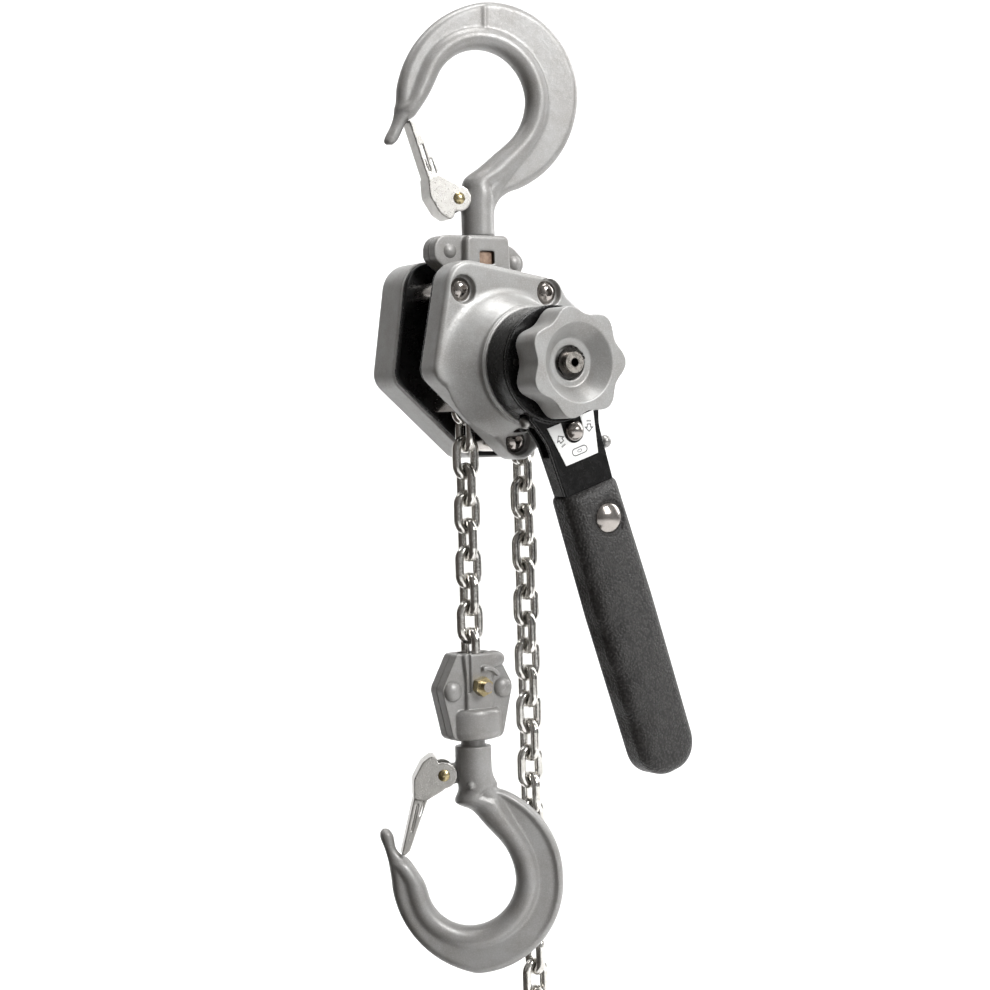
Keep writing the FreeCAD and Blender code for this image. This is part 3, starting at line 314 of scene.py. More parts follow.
def printed_plate(name):
    """White printed metal plate with slight rub marks and specks of dirt."""
    shader = Shader(name, (0.74, 0.74, 0.73), 0.0, 0.34, Coat_Weight=0.3, Coat_Roughness=0.18)
    rubs = shader.spread(shader.noise(3 * MM, 6, 0.7), 0.52, 0.75, 0, 0.7)
    rubbed = shader.mix(rubs, (0.74, 0.74, 0.73), (0.56, 0.555, 0.55))
    dirt = shader.spread(shader.noise(0.6 * MM, 3, 0.7), 0.68, 0.76, 0, 0.6)
    shader.colour(shader.mix(dirt, rubbed, (0.25, 0.24, 0.23)))
    shader.rough(shader.spread(shader.noise(0.7 * MM, 4), 0.3, 0.7, 0.26, 0.44))
    shader.bump(shader.noise(0.5 * MM, 2), 0.01 * MM, 0.5)
    return shader.material


def ink(name):
    """Black printing ink, thin in places."""
    shader = Shader(name, (0.03, 0.03, 0.03), 0.0, 0.4)
    shader.colour(shader.mix(shader.noise(0.4 * MM, 3), (0.012, 0.012, 0.012), (0.07, 0.07, 0.07)))
    shader.bump(shader.noise(0.3 * MM, 2), 0.01 * MM, 0.5)
    return shader.material


BLACK = (0.0045, 0.0044, 0.0043)
MATERIALS = {
    "hook_paint": silver_paint("hook_paint", (0.245, 0.243, 0.238), 0.40),
    "cast_silver": silver_paint("cast_silver", (0.235, 0.232, 0.226), 0.40),
    "cover_paint": silver_paint("cover_paint", (0.295, 0.295, 0.290), 0.38),
    "frame_black": black_enamel("frame_black", BLACK, 0.26),
    "lever_black": black_enamel("lever_black", BLACK, 0.21),
    "grip_rubber": rubber("grip_rubber"),
    # The chain's last argument, 0.6, is painted shade in its inner hollows.
    "chain_nickel": bare_steel("chain_nickel", (0.76, 0.745, 0.715), 0.17, None, (0.46, 0.445, 0.415),
                               0.09 * MM, 0.6),
    "latch_steel": bare_steel("latch_steel", (0.45, 0.44, 0.42), 0.31, None, (0.37, 0.36, 0.34), 0.012 * MM),
    "zinc_yellow": bare_steel("zinc_yellow", (0.47, 0.40, 0.235), 0.27, None, (0.24, 0.19, 0.10), 0.03 * MM),
    "dark_steel": bare_steel("dark_steel", (0.36, 0.335, 0.315), 0.17, None, (0.29, 0.268, 0.25)),
    "ground_steel": bare_steel("ground_steel", (0.56, 0.53, 0.50), 0.20, (1, 0.1, 1)),
    "gear_steel": bare_steel("gear_steel", (0.34, 0.33, 0.32), 0.30, (1, 0.2, 1)),
    "spring_steel": bare_steel("spring_steel", (0.16, 0.155, 0.15), 0.25),
    "brown_steel": bare_steel("brown_steel", (0.34, 0.25, 0.19), 0.36, None, (0.18, 0.12, 0.09)),
    "friction_lining": lining("friction_lining"),
    "knob_steel": bare_steel("knob_steel", (0.30, 0.295, 0.285), 0.34, None, None, 0.05 * MM),
    "label_white": printed_plate("label_white"),
    "ring_black": bare_steel("ring_black", (0.085, 0.08, 0.075), 0.22, None, (0.05, 0.047, 0.044)),
}
INK = ink("label_ink")
SHAFT_HOLE = 1.9 * MM
SHAFT_END = bored_steel("shaft_end", (0.50, 0.47, 0.43), 0.24, shaft, SHAFT_HOLE)


# ------------------------------------------------------------------ mesh helpers

SMOOTHING = 0.5


def paint(piece, material):
    piece.data.materials.clear()
    piece.data.materials.append(material)


def mesh_of(name, points, faces):
    mesh = bpy.data.meshes.new(name)
    mesh.from_pydata(points, [], faces)
    return mesh


def new_piece(name, mesh, body, slot, smooth=True):
    """An object with that mesh, riding on a body and finished like a slot."""
    piece = bpy.data.objects.new(name, mesh)
    bpy.context.scene.collection.objects.link(piece)
    paint(piece, MATERIALS[slot])
    if smooth:
        mesh.shade_smooth()
    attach(piece, body)
    return piece


def stand_in(name, mesh, node, slot=None):
    """A new piece in the place of a CAD node."""
    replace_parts(new_piece(name, mesh, body_of[node], slot or slot_of[node]), node)


def points_of(mesh):
    flat = np.zeros(len(mesh.vertices) * 3, np.float32)
    mesh.vertices.foreach_get("co", flat)
    return flat.reshape(-1, 3).astype(float)


def set_points(mesh, points):
    mesh.vertices.foreach_set("co", points.astype(np.float32).ravel())
    mesh.update()


def evaluated(piece):
    """The piece's mesh with its modifiers applied; the piece itself is dropped."""
    graph = bpy.context.evaluated_depsgraph_get()
    mesh = bpy.data.meshes.new_from_object(piece.evaluated_get(graph))
    bpy.data.objects.remove(piece)
    return mesh


def remeshed(mesh, voxel, rounds):
    """The mesh remeshed to even faces, its edges rounded by that many rounds of smoothing."""
    rough = bpy.data.objects.new("rough", mesh)
    bpy.context.scene.collection.objects.link(rough)
    remesh = rough.modifiers.new("remesh", "REMESH")
    remesh.mode = "VOXEL"
    remesh.voxel_size = voxel
    smooth = rough.modifiers.new("smooth", "SMOOTH")
    smooth.iterations = rounds
    smooth.factor = SMOOTHING
    return evaluated(rough)


def cast(node, voxel, rounds, shaping=None):
    """Replace a CAD node by its own shape with rounded edges, as a casting or forging has them."""
    mesh = remeshed(nodes[node].data.copy(), voxel, rounds)
    if shaping:
        set_points(mesh, shaping(points_of(mesh)))
    stand_in(node + "_cast", mesh, node)


def cut(mesh, cutter):
    """The mesh less the cutter's."""
    piece = bpy.data.objects.new("whole", mesh)
    tool = bpy.data.objects.new("cutter", cutter)
    for item in (piece, tool):
        bpy.context.scene.collection.objects.link(item)
    boolean = piece.modifiers.new("cut", "BOOLEAN")
    boolean.operation = "DIFFERENCE"
    boolean.object = tool
    result = evaluated(piece)
    bpy.data.objects.remove(tool)
    return result


def smooth_step(value, low, high):
    """0 below low and 1 above high, with a soft change between."""
    t = np.clip((value - low) / (high - low), 0, 1)
    return t * t * (3 - 2 * t)


for name, cad_piece in nodes.items():
    paint(cad_piece, MATERIALS[slot_of[name]])


# ------------------------------------------------------------------ forged hooks

# Millimetres and degrees in the hook's own plane: u across, w along the shank away from the hoist.
HOOKS = {
    "top": {
        "up": 1, "pin": (-10.6, 16.0), "bowl": (3.2, 60.6), "shank": 7.3, "leg_radius": 27.2,
        "neck": 5.5, "neck_end": -14.6,
        "outer": [((14.8, 19.6), (40.8, 38.5), (48.6, 66)), ((48.6, 66), (35, 93), (5, 102.6)),
                  ((5, 102.6), (-25, 86), (-36.4, 60))],
        "inner": [((-5, 25), (4, 32.5), (12.8, 39.8)), ((12.8, 39.8), (21.4, 49.5), (24.2, 60.6)),
                  ((24.2, 60.6), (3.2, 81.6), (-17.8, 68.2)), ((-17.8, 68.2), (-22.2, 60), (-28.6, 51.4))],
        "foot": [((7.3, 0), (-7.3, 0)), ((7.2, 7), (-7.3, 7)), ((8.1, 12.5), (-7.3, 13)),
                 ((10.6, 16.7), (-6.6, 19.6))],
        "turns": [(-74, -104), (-67, -92), (-59, -77), (-50, -62), (-42, -48), (-33, -36)],
        "last": 184,
        "tip": [((-37.1, 55), (-26.3, 54.2), 5.2, 5.6, 4.0), ((-37.5, 52.2), (-28.3, 51.6), 4.4, 3.8, 3.4),
                ((-38.2, 49.6), (-31.6, 49.4), 3.2, 3.1, 2.9), ((-39.6, 46.4), (-33.4, 46.6), 3.0, 2.8, 2.6),
                ((-41.4, 43.2), (-35.0, 43.4), 3.0, 2.7, 2.5), ((-42.4, 40.6), (-36.6, 40.7), 2.8, 2.5, 2.3),
                ((-41.6, 39.2), (-38.6, 39.1), 1.4, 1.3, 1.1)],
        "recess": (0.0, -65, 40), "seam": 88.5, "boss": None,
    },
    "bottom": {
        "up": -1, "pin": (-13.7, 12.0), "bowl": (-2.4, 59.5), "shank": 8.0, "leg_radius": 26.2,
        "neck": 5.3, "neck_end": -15.5,
        "outer": [((12.8, 20), (33.6, 39.5), (38.6, 60)), ((38.6, 60), (27.2, 89.3), (-0.4, 100.9)),
                  ((-0.4, 100.9), (-28, 83.5), (-37.6, 56))],
        "inner": [((-5, 24.5), (1.2, 31.6), (7.5, 39)), ((7.5, 39), (14.8, 49), (17.4, 59.5)),
                  ((17.4, 59.5), (-2.4, 79.5), (-21.6, 62.8)), ((-21.6, 62.8), (-25.4, 54.5), (-30.2, 48))],
        "foot": [((8.0, 0), (-8.0, 0)), ((8.0, 7), (-8.0, 7)), ((8.5, 13), (-7.9, 13)),
                 ((10.3, 17.3), (-7.0, 19.2))],
        "turns": [(-73, -100), (-66, -88), (-58, -74), (-50, -60), (-42, -47), (-33, -36)],
        "last": 186,
        "tip": [((-38.3, 51.5), (-27.6, 51.4), 5.0, 5.6, 4.0), ((-38.8, 48.8), (-30.0, 48.4), 4.2, 3.8, 3.4),
                ((-39.6, 45.6), (-33.4, 46.2), 3.1, 3.1, 2.9), ((-40.6, 42.4), (-35.2, 43.4), 2.8, 2.9, 2.7),
                ((-41.8, 39.2), (-35.7, 40.4), 3.1, 3.2, 2.6), ((-41.9, 36.6), (-36.3, 37.6), 2.9, 3.2, 2.4),
                ((-40.6, 34.9), (-38.0, 35.2), 1.4, 1.5, 1.0)],
        "recess": (1.25, -66, 34), "seam": None, "boss": (-2.2, 16.8),
    },
}
BEAD_REACH = 5.2
BEAD_HEIGHT = 6.2
WEB_HEIGHT = 4.3
EDGE = 3.2
RIM = (2.6, 4.6)
SEAM_HEIGHT = 0.45
LEG_TURN = -42
HOOK_VOXEL = 0.42 * MM
HOOK_ROUNDS = 6
LATCH_VOXEL = 0.30 * MM
LATCH_ROUNDS = 2
LUG_RADIUS = 4.6
LUG_HALF = 2.3
LUG_BRIDGE = 4
BOSS_RADIUS = 1.5
CROWN_HEIGHT = 13.0
LEG_START = (-0.8, 12.5)
TIP_DEGREES = 220
WEB_BLEND = 0.7


def arc_points(start, middle, finish, count=24):
    """Points on the circle through three, from the first to the last."""
    (ax, ay), (bx, by), (cx, cy) = start, middle, finish
    d = 2 * (ax * (by - cy) + bx * (cy - ay) + cx * (ay - by))
    if abs(d) < 1e-3:
        return [(ax + (cx - ax) * t, ay + (cy - ay) * t) for t in np.linspace(0, 1, count)]
    a2, b2, c2 = ax * ax + ay * ay, bx * bx + by * by, cx * cx + cy * cy
    ux = (a2 * (by - cy) + b2 * (cy - ay) + c2 * (ay - by)) / d
    uy = (a2 * (cx - bx) + b2 * (ax - cx) + c2 * (bx - ax)) / d
    first, half, last = (math.atan2(y - uy, x - ux) for x, y in (start, middle, finish))
    turn = (last - first) % (2 * math.pi)
    if (half - first) % (2 * math.pi) > turn:
        turn -= 2 * math.pi
    radius = math.hypot(ax - ux, ay - uy)
    return [(ux + radius * math.cos(first + turn * t), uy + radius * math.sin(first + turn * t))
            for t in np.linspace(0, 1, count)]


def polar(arcs, bowl):
    """The chained arcs as the angle round the bowl, in degrees and rising, and the radius there."""
    points = [spot for arc in arcs for spot in arc_points(*arc)]
    around = np.array([(x - bowl[0], y - bowl[1]) for x, y in points])
    degrees = np.degrees(np.unwrap(np.arctan2(around[:, 1], around[:, 0])))
    radii = np.hypot(around[:, 0], around[:, 1])
    order = np.argsort(degrees)
    return degrees[order], radii[order]


def hook_stations(hook):
    """Rows of outer u, w, inner u, w, bead reach and height, web height and angle, from shank to tip."""
    bowl = hook["bowl"]
    outer = polar(hook["outer"], bowl)
    inner = polar(hook["inner"], bowl)

    def spot(curve, degrees):
        radius = np.interp(degrees, *curve)
        angle = math.radians(degrees)
        return bowl[0] + radius * math.cos(angle), bowl[1] + radius * math.sin(angle)

    shank = hook["shank"]
    rows = []
    for first, second in hook["foot"]:
        rows.append([*first, *second, shank, shank, WEB_HEIGHT - 0.6, -90])
    for turn, (out_degrees, in_degrees) in enumerate(hook["turns"]):
        t = (turn + 1) / len(hook["turns"])
        reach = shank + (BEAD_REACH - shank) * min(1, 1.3 * t)
        height = shank - 0.3 + (BEAD_HEIGHT - shank + 0.3) * t
        rows.append([*spot(outer, out_degrees), *spot(inner, in_degrees), reach, height, WEB_HEIGHT,
                     out_degrees])
    for degrees in np.arange(-24, hook["last"] + 1, 8.0):
        rows.append([*spot(outer, degrees), *spot(inner, degrees), BEAD_REACH, BEAD_HEIGHT, WEB_HEIGHT,
                     degrees])
    for first, second, reach, height, web in hook["tip"]:
        rows.append([*first, *second, reach, height, web, TIP_DEGREES])
    return np.array(rows, float)


def flowing(rows, steps=5):
    """The rows with a smooth curve drawn through them."""
    padded = np.vstack([2 * rows[0] - rows[1], rows, 2 * rows[-1] - rows[-2]])
    result = []
    for i in range(1, len(padded) - 2):
        p0, p1, p2, p3 = padded[i - 1:i + 3]
        for t in np.arange(steps) / steps:
            result.append(0.5 * (2 * p1 + (p2 - p0) * t + (2 * p0 - 5 * p1 + 4 * p2 - p3) * t * t
                                 + (3 * p1 - p0 - 3 * p2 + p3) * t ** 3))
    result.append(padded[-2])
    return np.array(result)


def half_section(a, width, reach, height, web, recess, seam):
    """Half thickness of the hook at distances a from its inner edge."""
    inside = np.clip(1 - ((a - reach) / reach) ** 2, 0, 1)
    bead = height * np.sqrt(inside)
    b = width - a
    edge = min(EDGE, 0.5 * width)
    flat = web * np.sqrt(np.clip(1 - (1 - np.clip(b / edge, 0, 1)) ** 2, 0, 1))
    flat = flat - recess * smooth_step(b, *RIM) + seam * smooth_step(b, 0.2, 1.5)
    flat = np.where(a > reach, flat, 0)
    gap = np.abs(bead - flat)
    blend = np.where(a > reach, np.clip(WEB_BLEND - gap, 0, WEB_BLEND) ** 2 / (4 * WEB_BLEND), 0)
    return np.maximum(bead, flat) + blend * (np.minimum(a, b) > 0)


def hook_shell(hook, samples=30):
    """Closed mesh data of the hook's body in its own plane: (u, thickness, w) in millimetres."""
    rows = flowing(hook_stations(hook))
    depth, low, high = hook["recess"]
    points = []
    for ou, ow, iu, iw, reach, height, web, degrees in rows:
        width = math.hypot(ou - iu, ow - iw)
        reach = min(reach, width / 2)
        recess = (depth * smooth_step(degrees, low - 8, low + 8)
                  * (1 - smooth_step(degrees, high - 26, high + 26)))
        seam = SEAM_HEIGHT * math.exp(-((degrees - hook["seam"]) / 1.5) ** 2) if hook["seam"] else 0.0
        a = width * (1 - np.cos(np.linspace(0, math.pi, samples))) / 2
        half = half_section(a, width, reach, height, web, float(recess), seam)
        half[0] = half[-1] = 0
        ring = [(a[i], -half[i]) for i in range(samples)]
        ring += [(a[i], half[i]) for i in range(samples - 2, 0, -1)]
        for reach_in, side in ring:
            t = reach_in / width
            points.append((iu + (ou - iu) * t, side, iw + (ow - iw) * t))
    count = 2 * samples - 2
    faces = [tuple(range(count)), tuple(range(len(points) - 1, len(points) - count - 1, -1))]
    for row in range(len(rows) - 1):
        for i in range(count):
            j = (i + 1) % count
            faces.append((row * count + i, (row + 1) * count + i, (row + 1) * count + j, row * count + j))
    return points, faces


def turned(profile, axis_spot, sides=40):
    """Closed mesh data of a profile of (radius, w) turned about the w axis through (u, y)."""
    points, faces = [], []
    for radius, w in profile:
        for side in range(sides):
            angle = 2 * math.pi * side / sides
            points.append((axis_spot[0] + radius * math.cos(angle),
                           axis_spot[1] + radius * math.sin(angle), w))
    for row in range(len(profile) - 1):
        for side in range(sides):
            following = (side + 1) % sides
            faces.append((row * sides + side, row * sides + following,
                          (row + 1) * sides + following, (row + 1) * sides + side))
    faces.append(tuple(range(sides))[::-1])
    faces.append(tuple(range(len(points) - sides, len(points))))
    return points, faces


def drum_y(radius, half, u, w, sides=40):
    """Closed mesh data of a round boss across the hook's plane."""
    points, faces = turned([(radius, -half), (radius, half)], (0, 0), sides)
    return [(u + x, z, w + y) for x, y, z in points], faces


def strut(start, finish, first, second, sides=40):
    """Closed mesh data of a round bar in the hook's plane, from one radius to another."""
    along_u, along_w = finish[0] - start[0], finish[1] - start[1]
    length = math.hypot(along_u, along_w)
    along_u, along_w = along_u / length, along_w / length
    points, faces = turned([(first, 0), (second, length)], (0, 0), sides)
    return [(start[0] + along_w * x + along_u * q, y, start[1] - along_u * x + along_w * q)
            for x, y, q in points], faces


def ball(radius, u, y, w):
    """Closed mesh data of a ball round that point."""
    rings = [(radius * math.sin(a), radius * -math.cos(a)) for a in np.linspace(0.06, math.pi - 0.06, 14)]
    points, faces = turned(rings, (0, 0), 24)
    return [(u + x, y + q, w + z) for x, q, z in points], faces


def joined(name, shells, place=lambda *spot: spot):
    """One mesh of several closed shells, each point put through place."""
    points, faces = [], []
    for shell_points, shell_faces in shells:
        base = len(points)
        points += [place(*spot) for spot in shell_points]
        faces += [tuple(base + corner for corner in face) for face in shell_faces]
    mesh = mesh_of(name, points, faces)
    fixing = bmesh.new()
    fixing.from_mesh(mesh)
    bmesh.ops.recalc_face_normals(fixing, faces=fixing.faces)
    fixing.to_mesh(mesh)
    fixing.free()
    return mesh


def forged_hook(end):
    """A hook as forged: round shank, flat web, thick bead round the bowl, thin nose and latch lug."""
    hook = HOOKS[end]
    joint = joints[end + "_latch_hinge"]
    normal = Vector(joint["axis"])
    if normal.y < 0:
        normal = -normal
    u_axis = Vector((normal.y, -normal.x, 0))
    w_axis = Vector((0, 0, hook["up"]))
    pin_u, pin_w = hook["pin"]
    origin = Vector(joint["pos_m"]) - u_axis * pin_u * MM - w_axis * pin_w * MM

    def place(u, y, w):
        return origin + (u_axis * u + normal * y + w_axis * w) * MM

    shank, neck, low = hook["shank"], hook["neck"], hook["neck_end"]
    stem = turned([(neck - 0.5, low), (neck, low + 0.5), (neck, 0.1), (shank - 0.5, 0.1),
                   (shank, 0.8), (shank, 9)], (0, 0))
    lug = drum_y(LUG_RADIUS, LUG_HALF, pin_u, pin_w)
    bridge = drum_y(LUG_RADIUS, LUG_HALF, pin_u + LUG_BRIDGE, pin_w)
    bowl_u, bowl_w = hook["bowl"]
    turn = math.radians(LEG_TURN)
    middle = hook["leg_radius"]
    leg_top = (bowl_u + middle * math.cos(turn), bowl_w + middle * math.sin(turn))
    leg = strut(LEG_START, leg_top, shank - 1.7, BEAD_HEIGHT - 0.8)
    shells = [hook_shell(hook), stem, lug, bridge, leg, ball(shank - 0.3, 0, 0, CROWN_HEIGHT)]
    if hook["boss"]:
        boss_u, boss_w = hook["boss"]
        shells.append(ball(BOSS_RADIUS, boss_u, -shank + 0.2, boss_w))
    mesh = remeshed(joined(end + "_hook_rough", shells, place), HOOK_VOXEL, HOOK_ROUNDS)
    stand_in(end + "_hook_forged", mesh, end + "_hook", "hook_paint")


for end in ("top", "bottom"):
    forged_hook(end)
    cast(end + "_latch", LATCH_VOXEL, LATCH_ROUNDS)


# ------------------------------------------------------------------ castings and pressings

# Voxel in millimetres and rounds of smoothing for each casting or pressing.
ROUNDED = {
    "yoke_front": (0.36, 5), "yoke_rear": (0.36, 5), "block_rear": (0.34, 4),
    "handwheel": (0.36, 8), "lever_housing": (0.36, 2), "lever_cover": (0.36, 2),
    "front_frame_plate": (0.45, 2), "rear_frame_plate": (0.45, 2), "gear_cover": (0.5, 6),
    "grip_rivet": (0.3, 2),
}
for name, (voxel, rounds) in ROUNDED.items():
    cast(name, voxel * MM, rounds)


def loop_faces(around, across):
    """Faces of a closed loop of that many closed sections."""
    faces = []
    for step in range(around):
        for slot in range(across):
            following, beside = (step + 1) % around, (slot + 1) % across
            faces.append((step * across + slot, following * across + slot,
                          following * across + beside, step * across + beside))
    return faces


def bell_lip(name, centre, radius, thickness, node):
    """A thin raised ring round the bell, about the shaft's axis."""
    points = []
    around, across = 96, 10
    for step in range(around):
        angle = 2 * math.pi * step / around
        out = Vector((math.cos(angle), 0, math.sin(angle)))
        for slot in range(across):
            turn = 2 * math.pi * slot / across
            points.append(centre + out * (radius + thickness * math.cos(turn))
                          + Vector((0, thickness * math.sin(turn), 0)))
    new_piece(name, mesh_of(name, points, loop_faces(around, across)), body_of[node], slot_of[node])


BELL_FOOT = (-8.5 * MM, 0.5 * MM, 31.0 * MM)   # x and z of its middle, and its radius
BELL_RADIUS = 26.0 * MM
BELL_RISE = 8.8 * MM
BELL_SINK = 1.0 * MM
BELL_LIP_BACKS = (0.9 * MM, 3.4 * MM)
BELL_LIP_SINK = 0.15 * MM
BELL_LIP_RADIUS = 0.55 * MM
COVER_FACE = -24.1 * MM
FOOT_FILLET = [(2.6, 0.6), (2.6, -0.05), (1.6, -0.25), (0.8, -0.75), (0.3, -1.5), (0.0, -2.8),
               (-0.6, -2.8), (-0.6, 0.6)]
FILLET_REACH = 2.6 * MM
FILLET_LEAST = 0.05
EDGE_MARGIN = 0.8 * MM
SCREW_SEAT = 6.4 * MM
COVER_SIDE = Vector((-43.7, 0, -3.2)) * MM, Vector((-0.5, 0, -42.5)) * MM
STAYS = [Vector((x, 0, z)) * MM for x, z in ((-28.3, 33.0), (15.1, 32.2), (-2.7, -31.8))]


def bell_spot(out, depth):
    """Point of the bell's outside in that direction, so far in front of the cover's face."""
    share = (depth + BELL_SINK) / BELL_RISE
    middle = shaft + Vector((BELL_FOOT[0], 0, BELL_FOOT[1])) * (1 - share)
    return middle + out * (BELL_FOOT[2] + (BELL_RADIUS - BELL_FOOT[2]) * share)


def bell_fillet():
    """The hollow fillet round the bell's foot, thinner where a screw or the cover's edge is near."""
    points = []
    around = 160
    start, finish = COVER_SIDE
    run = (finish - start).normalized()
    for step in range(around):
        angle = 2 * math.pi * step / around
        out = Vector((math.cos(angle), 0, math.sin(angle)))
        foot = bell_spot(out, 0) - shaft
        foot.y = 0
        room = min(run.cross(foot - start).dot(Vector((0, -1, 0))), foot.x - start.x) - EDGE_MARGIN
        room = min([room] + [(foot - stay).length - SCREW_SEAT for stay in STAYS])
        keep = min(1.0, max(FILLET_LEAST, room / FILLET_REACH))
        for reach, rise in FOOT_FILLET:
            spread = reach * keep if reach > 0 else reach
            spot = bell_spot(out, max(0.0, -rise) * MM) + out * spread * MM
            points.append((spot.x, COVER_FACE + rise * MM, spot.z))
    return points, [(a, d, c, b) for a, b, c, d in loop_faces(around, len(FOOT_FILLET))]


def welded(node, shells, voxel, rounds, cutters=()):
    """Replace a CAD node by its shape and these closed shells, grown into one casting."""
    whole = bmesh.new()
    whole.from_mesh(nodes[node].data)
    whole.from_mesh(joined(node + "_extra", shells))
    mesh = bpy.data.meshes.new(node + "_welded")
    whole.to_mesh(mesh)
    whole.free()
    mesh = remeshed(mesh, voxel, rounds)
    for cutter in cutters:
        mesh = cut(mesh, cutter)
    stand_in(node + "_cast", mesh, node)


welded("brake_cover", [bell_fillet()], 0.5 * MM, 5)
bell_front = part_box("brake_cover")[0].y
for index, back in enumerate(BELL_LIP_BACKS):
    spot = Vector((shaft.x, bell_front + back, shaft.z))
    bell_lip("bell_lip_%d" % index, spot, BELL_RADIUS - BELL_LIP_SINK, BELL_LIP_RADIUS, "brake_cover")

BARREL_WIDE = 13.3 * MM
BARREL_DEEP = 11.4 * MM
BARREL_HIGH = 13.4 * MM
BARREL_BACK = 0.4 * MM
BARREL_PROFILE = [(0.76, 0), (0.90, 0.04), (0.97, 0.12), (1, 0.24), (1, 0.84), (0.97, 0.93), (0.88, 1)]
LIP_PLACE = (7.6, -3.4)
LIP_SIZE = (6.4, 2.6, 4.0)
BLOCK_RIVET = (4.5, 2.7, 12.7)   # radius, rise and distance from the middle, in millimetres
RIVET_SEAT = 2.0 * MM
NUT_HOLLOW = 7.6 * MM
NUT_PLAY = 0.4 * MM
SWIVEL_BORE = 5.7 * MM
BORE_BELOW = 5 * MM
BLOCK_VOXEL = 0.36 * MM
BLOCK_ROUNDS = 4


def block_barrel(low, middle):
    """The round belly over the hook's swivel, on the front half of the block."""
    points, faces = turned(BARREL_PROFILE, (0, 0), 64)
    return [(middle.x + x * BARREL_WIDE, min(middle.y + y * BARREL_DEEP, middle.y - BARREL_BACK),
             low.z + h * BARREL_HIGH) for x, y, h in points], faces


def nut_lip(high, middle):
    """The rounded lip above the anchor nut, at the top of the front half."""
    place_x, place_z = LIP_PLACE
    wide, thick, tall = LIP_SIZE
    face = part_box("block_rivets")[0].y + RIVET_SEAT
    points, faces = ball(1.0, 0, 0, 0)
    return [(middle.x + (place_x + wide * x) * MM, face + thick * y * MM,
             high.z + (place_z + tall * z) * MM) for x, y, z in points], faces


def round_bar(radius, x, y, low, high, sides=48):
    """An upright bar, to cut with."""
    return joined("bar", [turned([(radius, low), (radius, high)], (x, y), sides)])


def hook_block():
    """The front half of the hook block with its belly, and its four rivet heads."""
    low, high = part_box("block_front")
    swivel = Vector(joints["bottom_hook_swivel"]["pos_m"])
    middle = Vector((swivel.x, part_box("block_rear")[0].y, 0))
    nut_low, nut_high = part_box("bottom_swivel_nut")
    hollow = round_bar(NUT_HOLLOW, swivel.x, swivel.y, nut_low.z - NUT_PLAY, nut_high.z + NUT_PLAY)
    bore = round_bar(SWIVEL_BORE, swivel.x, swivel.y, low.z - BORE_BELOW, nut_low.z)
    welded("block_front", [block_barrel(low, middle), nut_lip(high, middle)], BLOCK_VOXEL, BLOCK_ROUNDS,
           (hollow, bore))
    rivet_low, rivet_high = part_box("block_rivets")
    height = (rivet_low.z + rivet_high.z) / 2
    radius, rise, apart = BLOCK_RIVET
    shells = []
    for side in (-1, 1):
        for face, facing in ((rivet_low.y + RIVET_SEAT, -1), (rivet_high.y - RIVET_SEAT, 1)):
            profile = [(radius * math.cos(a), rise * math.sin(a)) for a in np.linspace(0, 1.45, 9)]
            points, faces = turned([(radius, -1.0)] + profile, (0, 0), 36)
            placed = [(middle.x + (side * apart + x) * MM, face + facing * h * MM, height + y * MM)
                      for x, y, h in points]
            shells.append((placed, faces))
    stand_in("block_rivet_heads", joined("block_rivet_heads", shells), "block_rivets", "cast_silver")


hook_block()

GRIP_SCALLOPS = 4
SCALLOP_PITCH = 21 * MM
SCALLOP_START = 86 * MM
SCALLOP_DEPTH = 1.3 * MM
GRIP_DOME = 2.2 * MM
GRIP_HALF = 15.3 * MM


def hand_shape(points):
    """Crowned front and back, and shallow finger hollows in the load side below the front edge."""
    low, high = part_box("grip")
    middle = (low.y + high.y) / 2
    thick = (high.y - low.y) / 2
    x = (points - np.array(shaft)) @ np.array(lateral)
    s = (points - np.array(shaft)) @ np.array(along)
    depth = (points[:, 1] - middle) / thick
    crown = GRIP_DOME * np.clip(np.abs(x) / GRIP_HALF, 0, 1) ** 2.4
    points = points.copy()
    points[:, 1] -= crown * depth
    wave = 0.5 - 0.5 * np.cos(2 * math.pi * (s - SCALLOP_START) / SCALLOP_PITCH)
    span = (s > SCALLOP_START) & (s < SCALLOP_START + GRIP_SCALLOPS * SCALLOP_PITCH)
    near = smooth_step(-x, 4 * MM, 11 * MM) * smooth_step(-depth, -0.7, 0.5)
    push = SCALLOP_DEPTH * wave * span * near
    points[:, 1] += 0.75 * push
    return points + np.outer(0.55 * push, np.array(lateral))


cast("grip", 0.6 * MM, 3, hand_shape)

paint(nodes["drive_shaft"], SHAFT_END)


# ------------------------------------------------------------------ printed marks

label_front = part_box("label_plate")[0].y - 0.03 * MM
LINE = 0.22


def on_label(x, s):
    """A point on the label, in millimetres across and along the lever."""
    spot = shaft + lateral * x * MM + along * s * MM
    return Vector((spot.x, label_front, spot.z))


def stroke(name, outline, half=LINE):
    """A closed printed line of even width through the (x, s) points."""
    count = len(outline)
    points, faces = [], []
    for index, (x, s) in enumerate(outline):
        before = Vector(outline[index - 1])
        after = Vector(outline[(index + 1) % count])
        here = Vector((x, s))
        back = (here - before).normalized()
        ahead = (after - here).normalized()
        normal = Vector((-(back + ahead).y, (back + ahead).x)).normalized()
        reach = half / max(0.4, normal.dot(Vector((-ahead.y, ahead.x))))
        points.append(on_label(*(here + normal * reach)))
        points.append(on_label(*(here - normal * reach)))
    for index in range(count):
        following = (index + 1) % count
        faces.append((2 * index, 2 * following, 2 * following + 1, 2 * index + 1))
    piece = new_piece(name, mesh_of(name, points, faces), body_of["label_plate"], "label_white", False)
    paint(piece, INK)


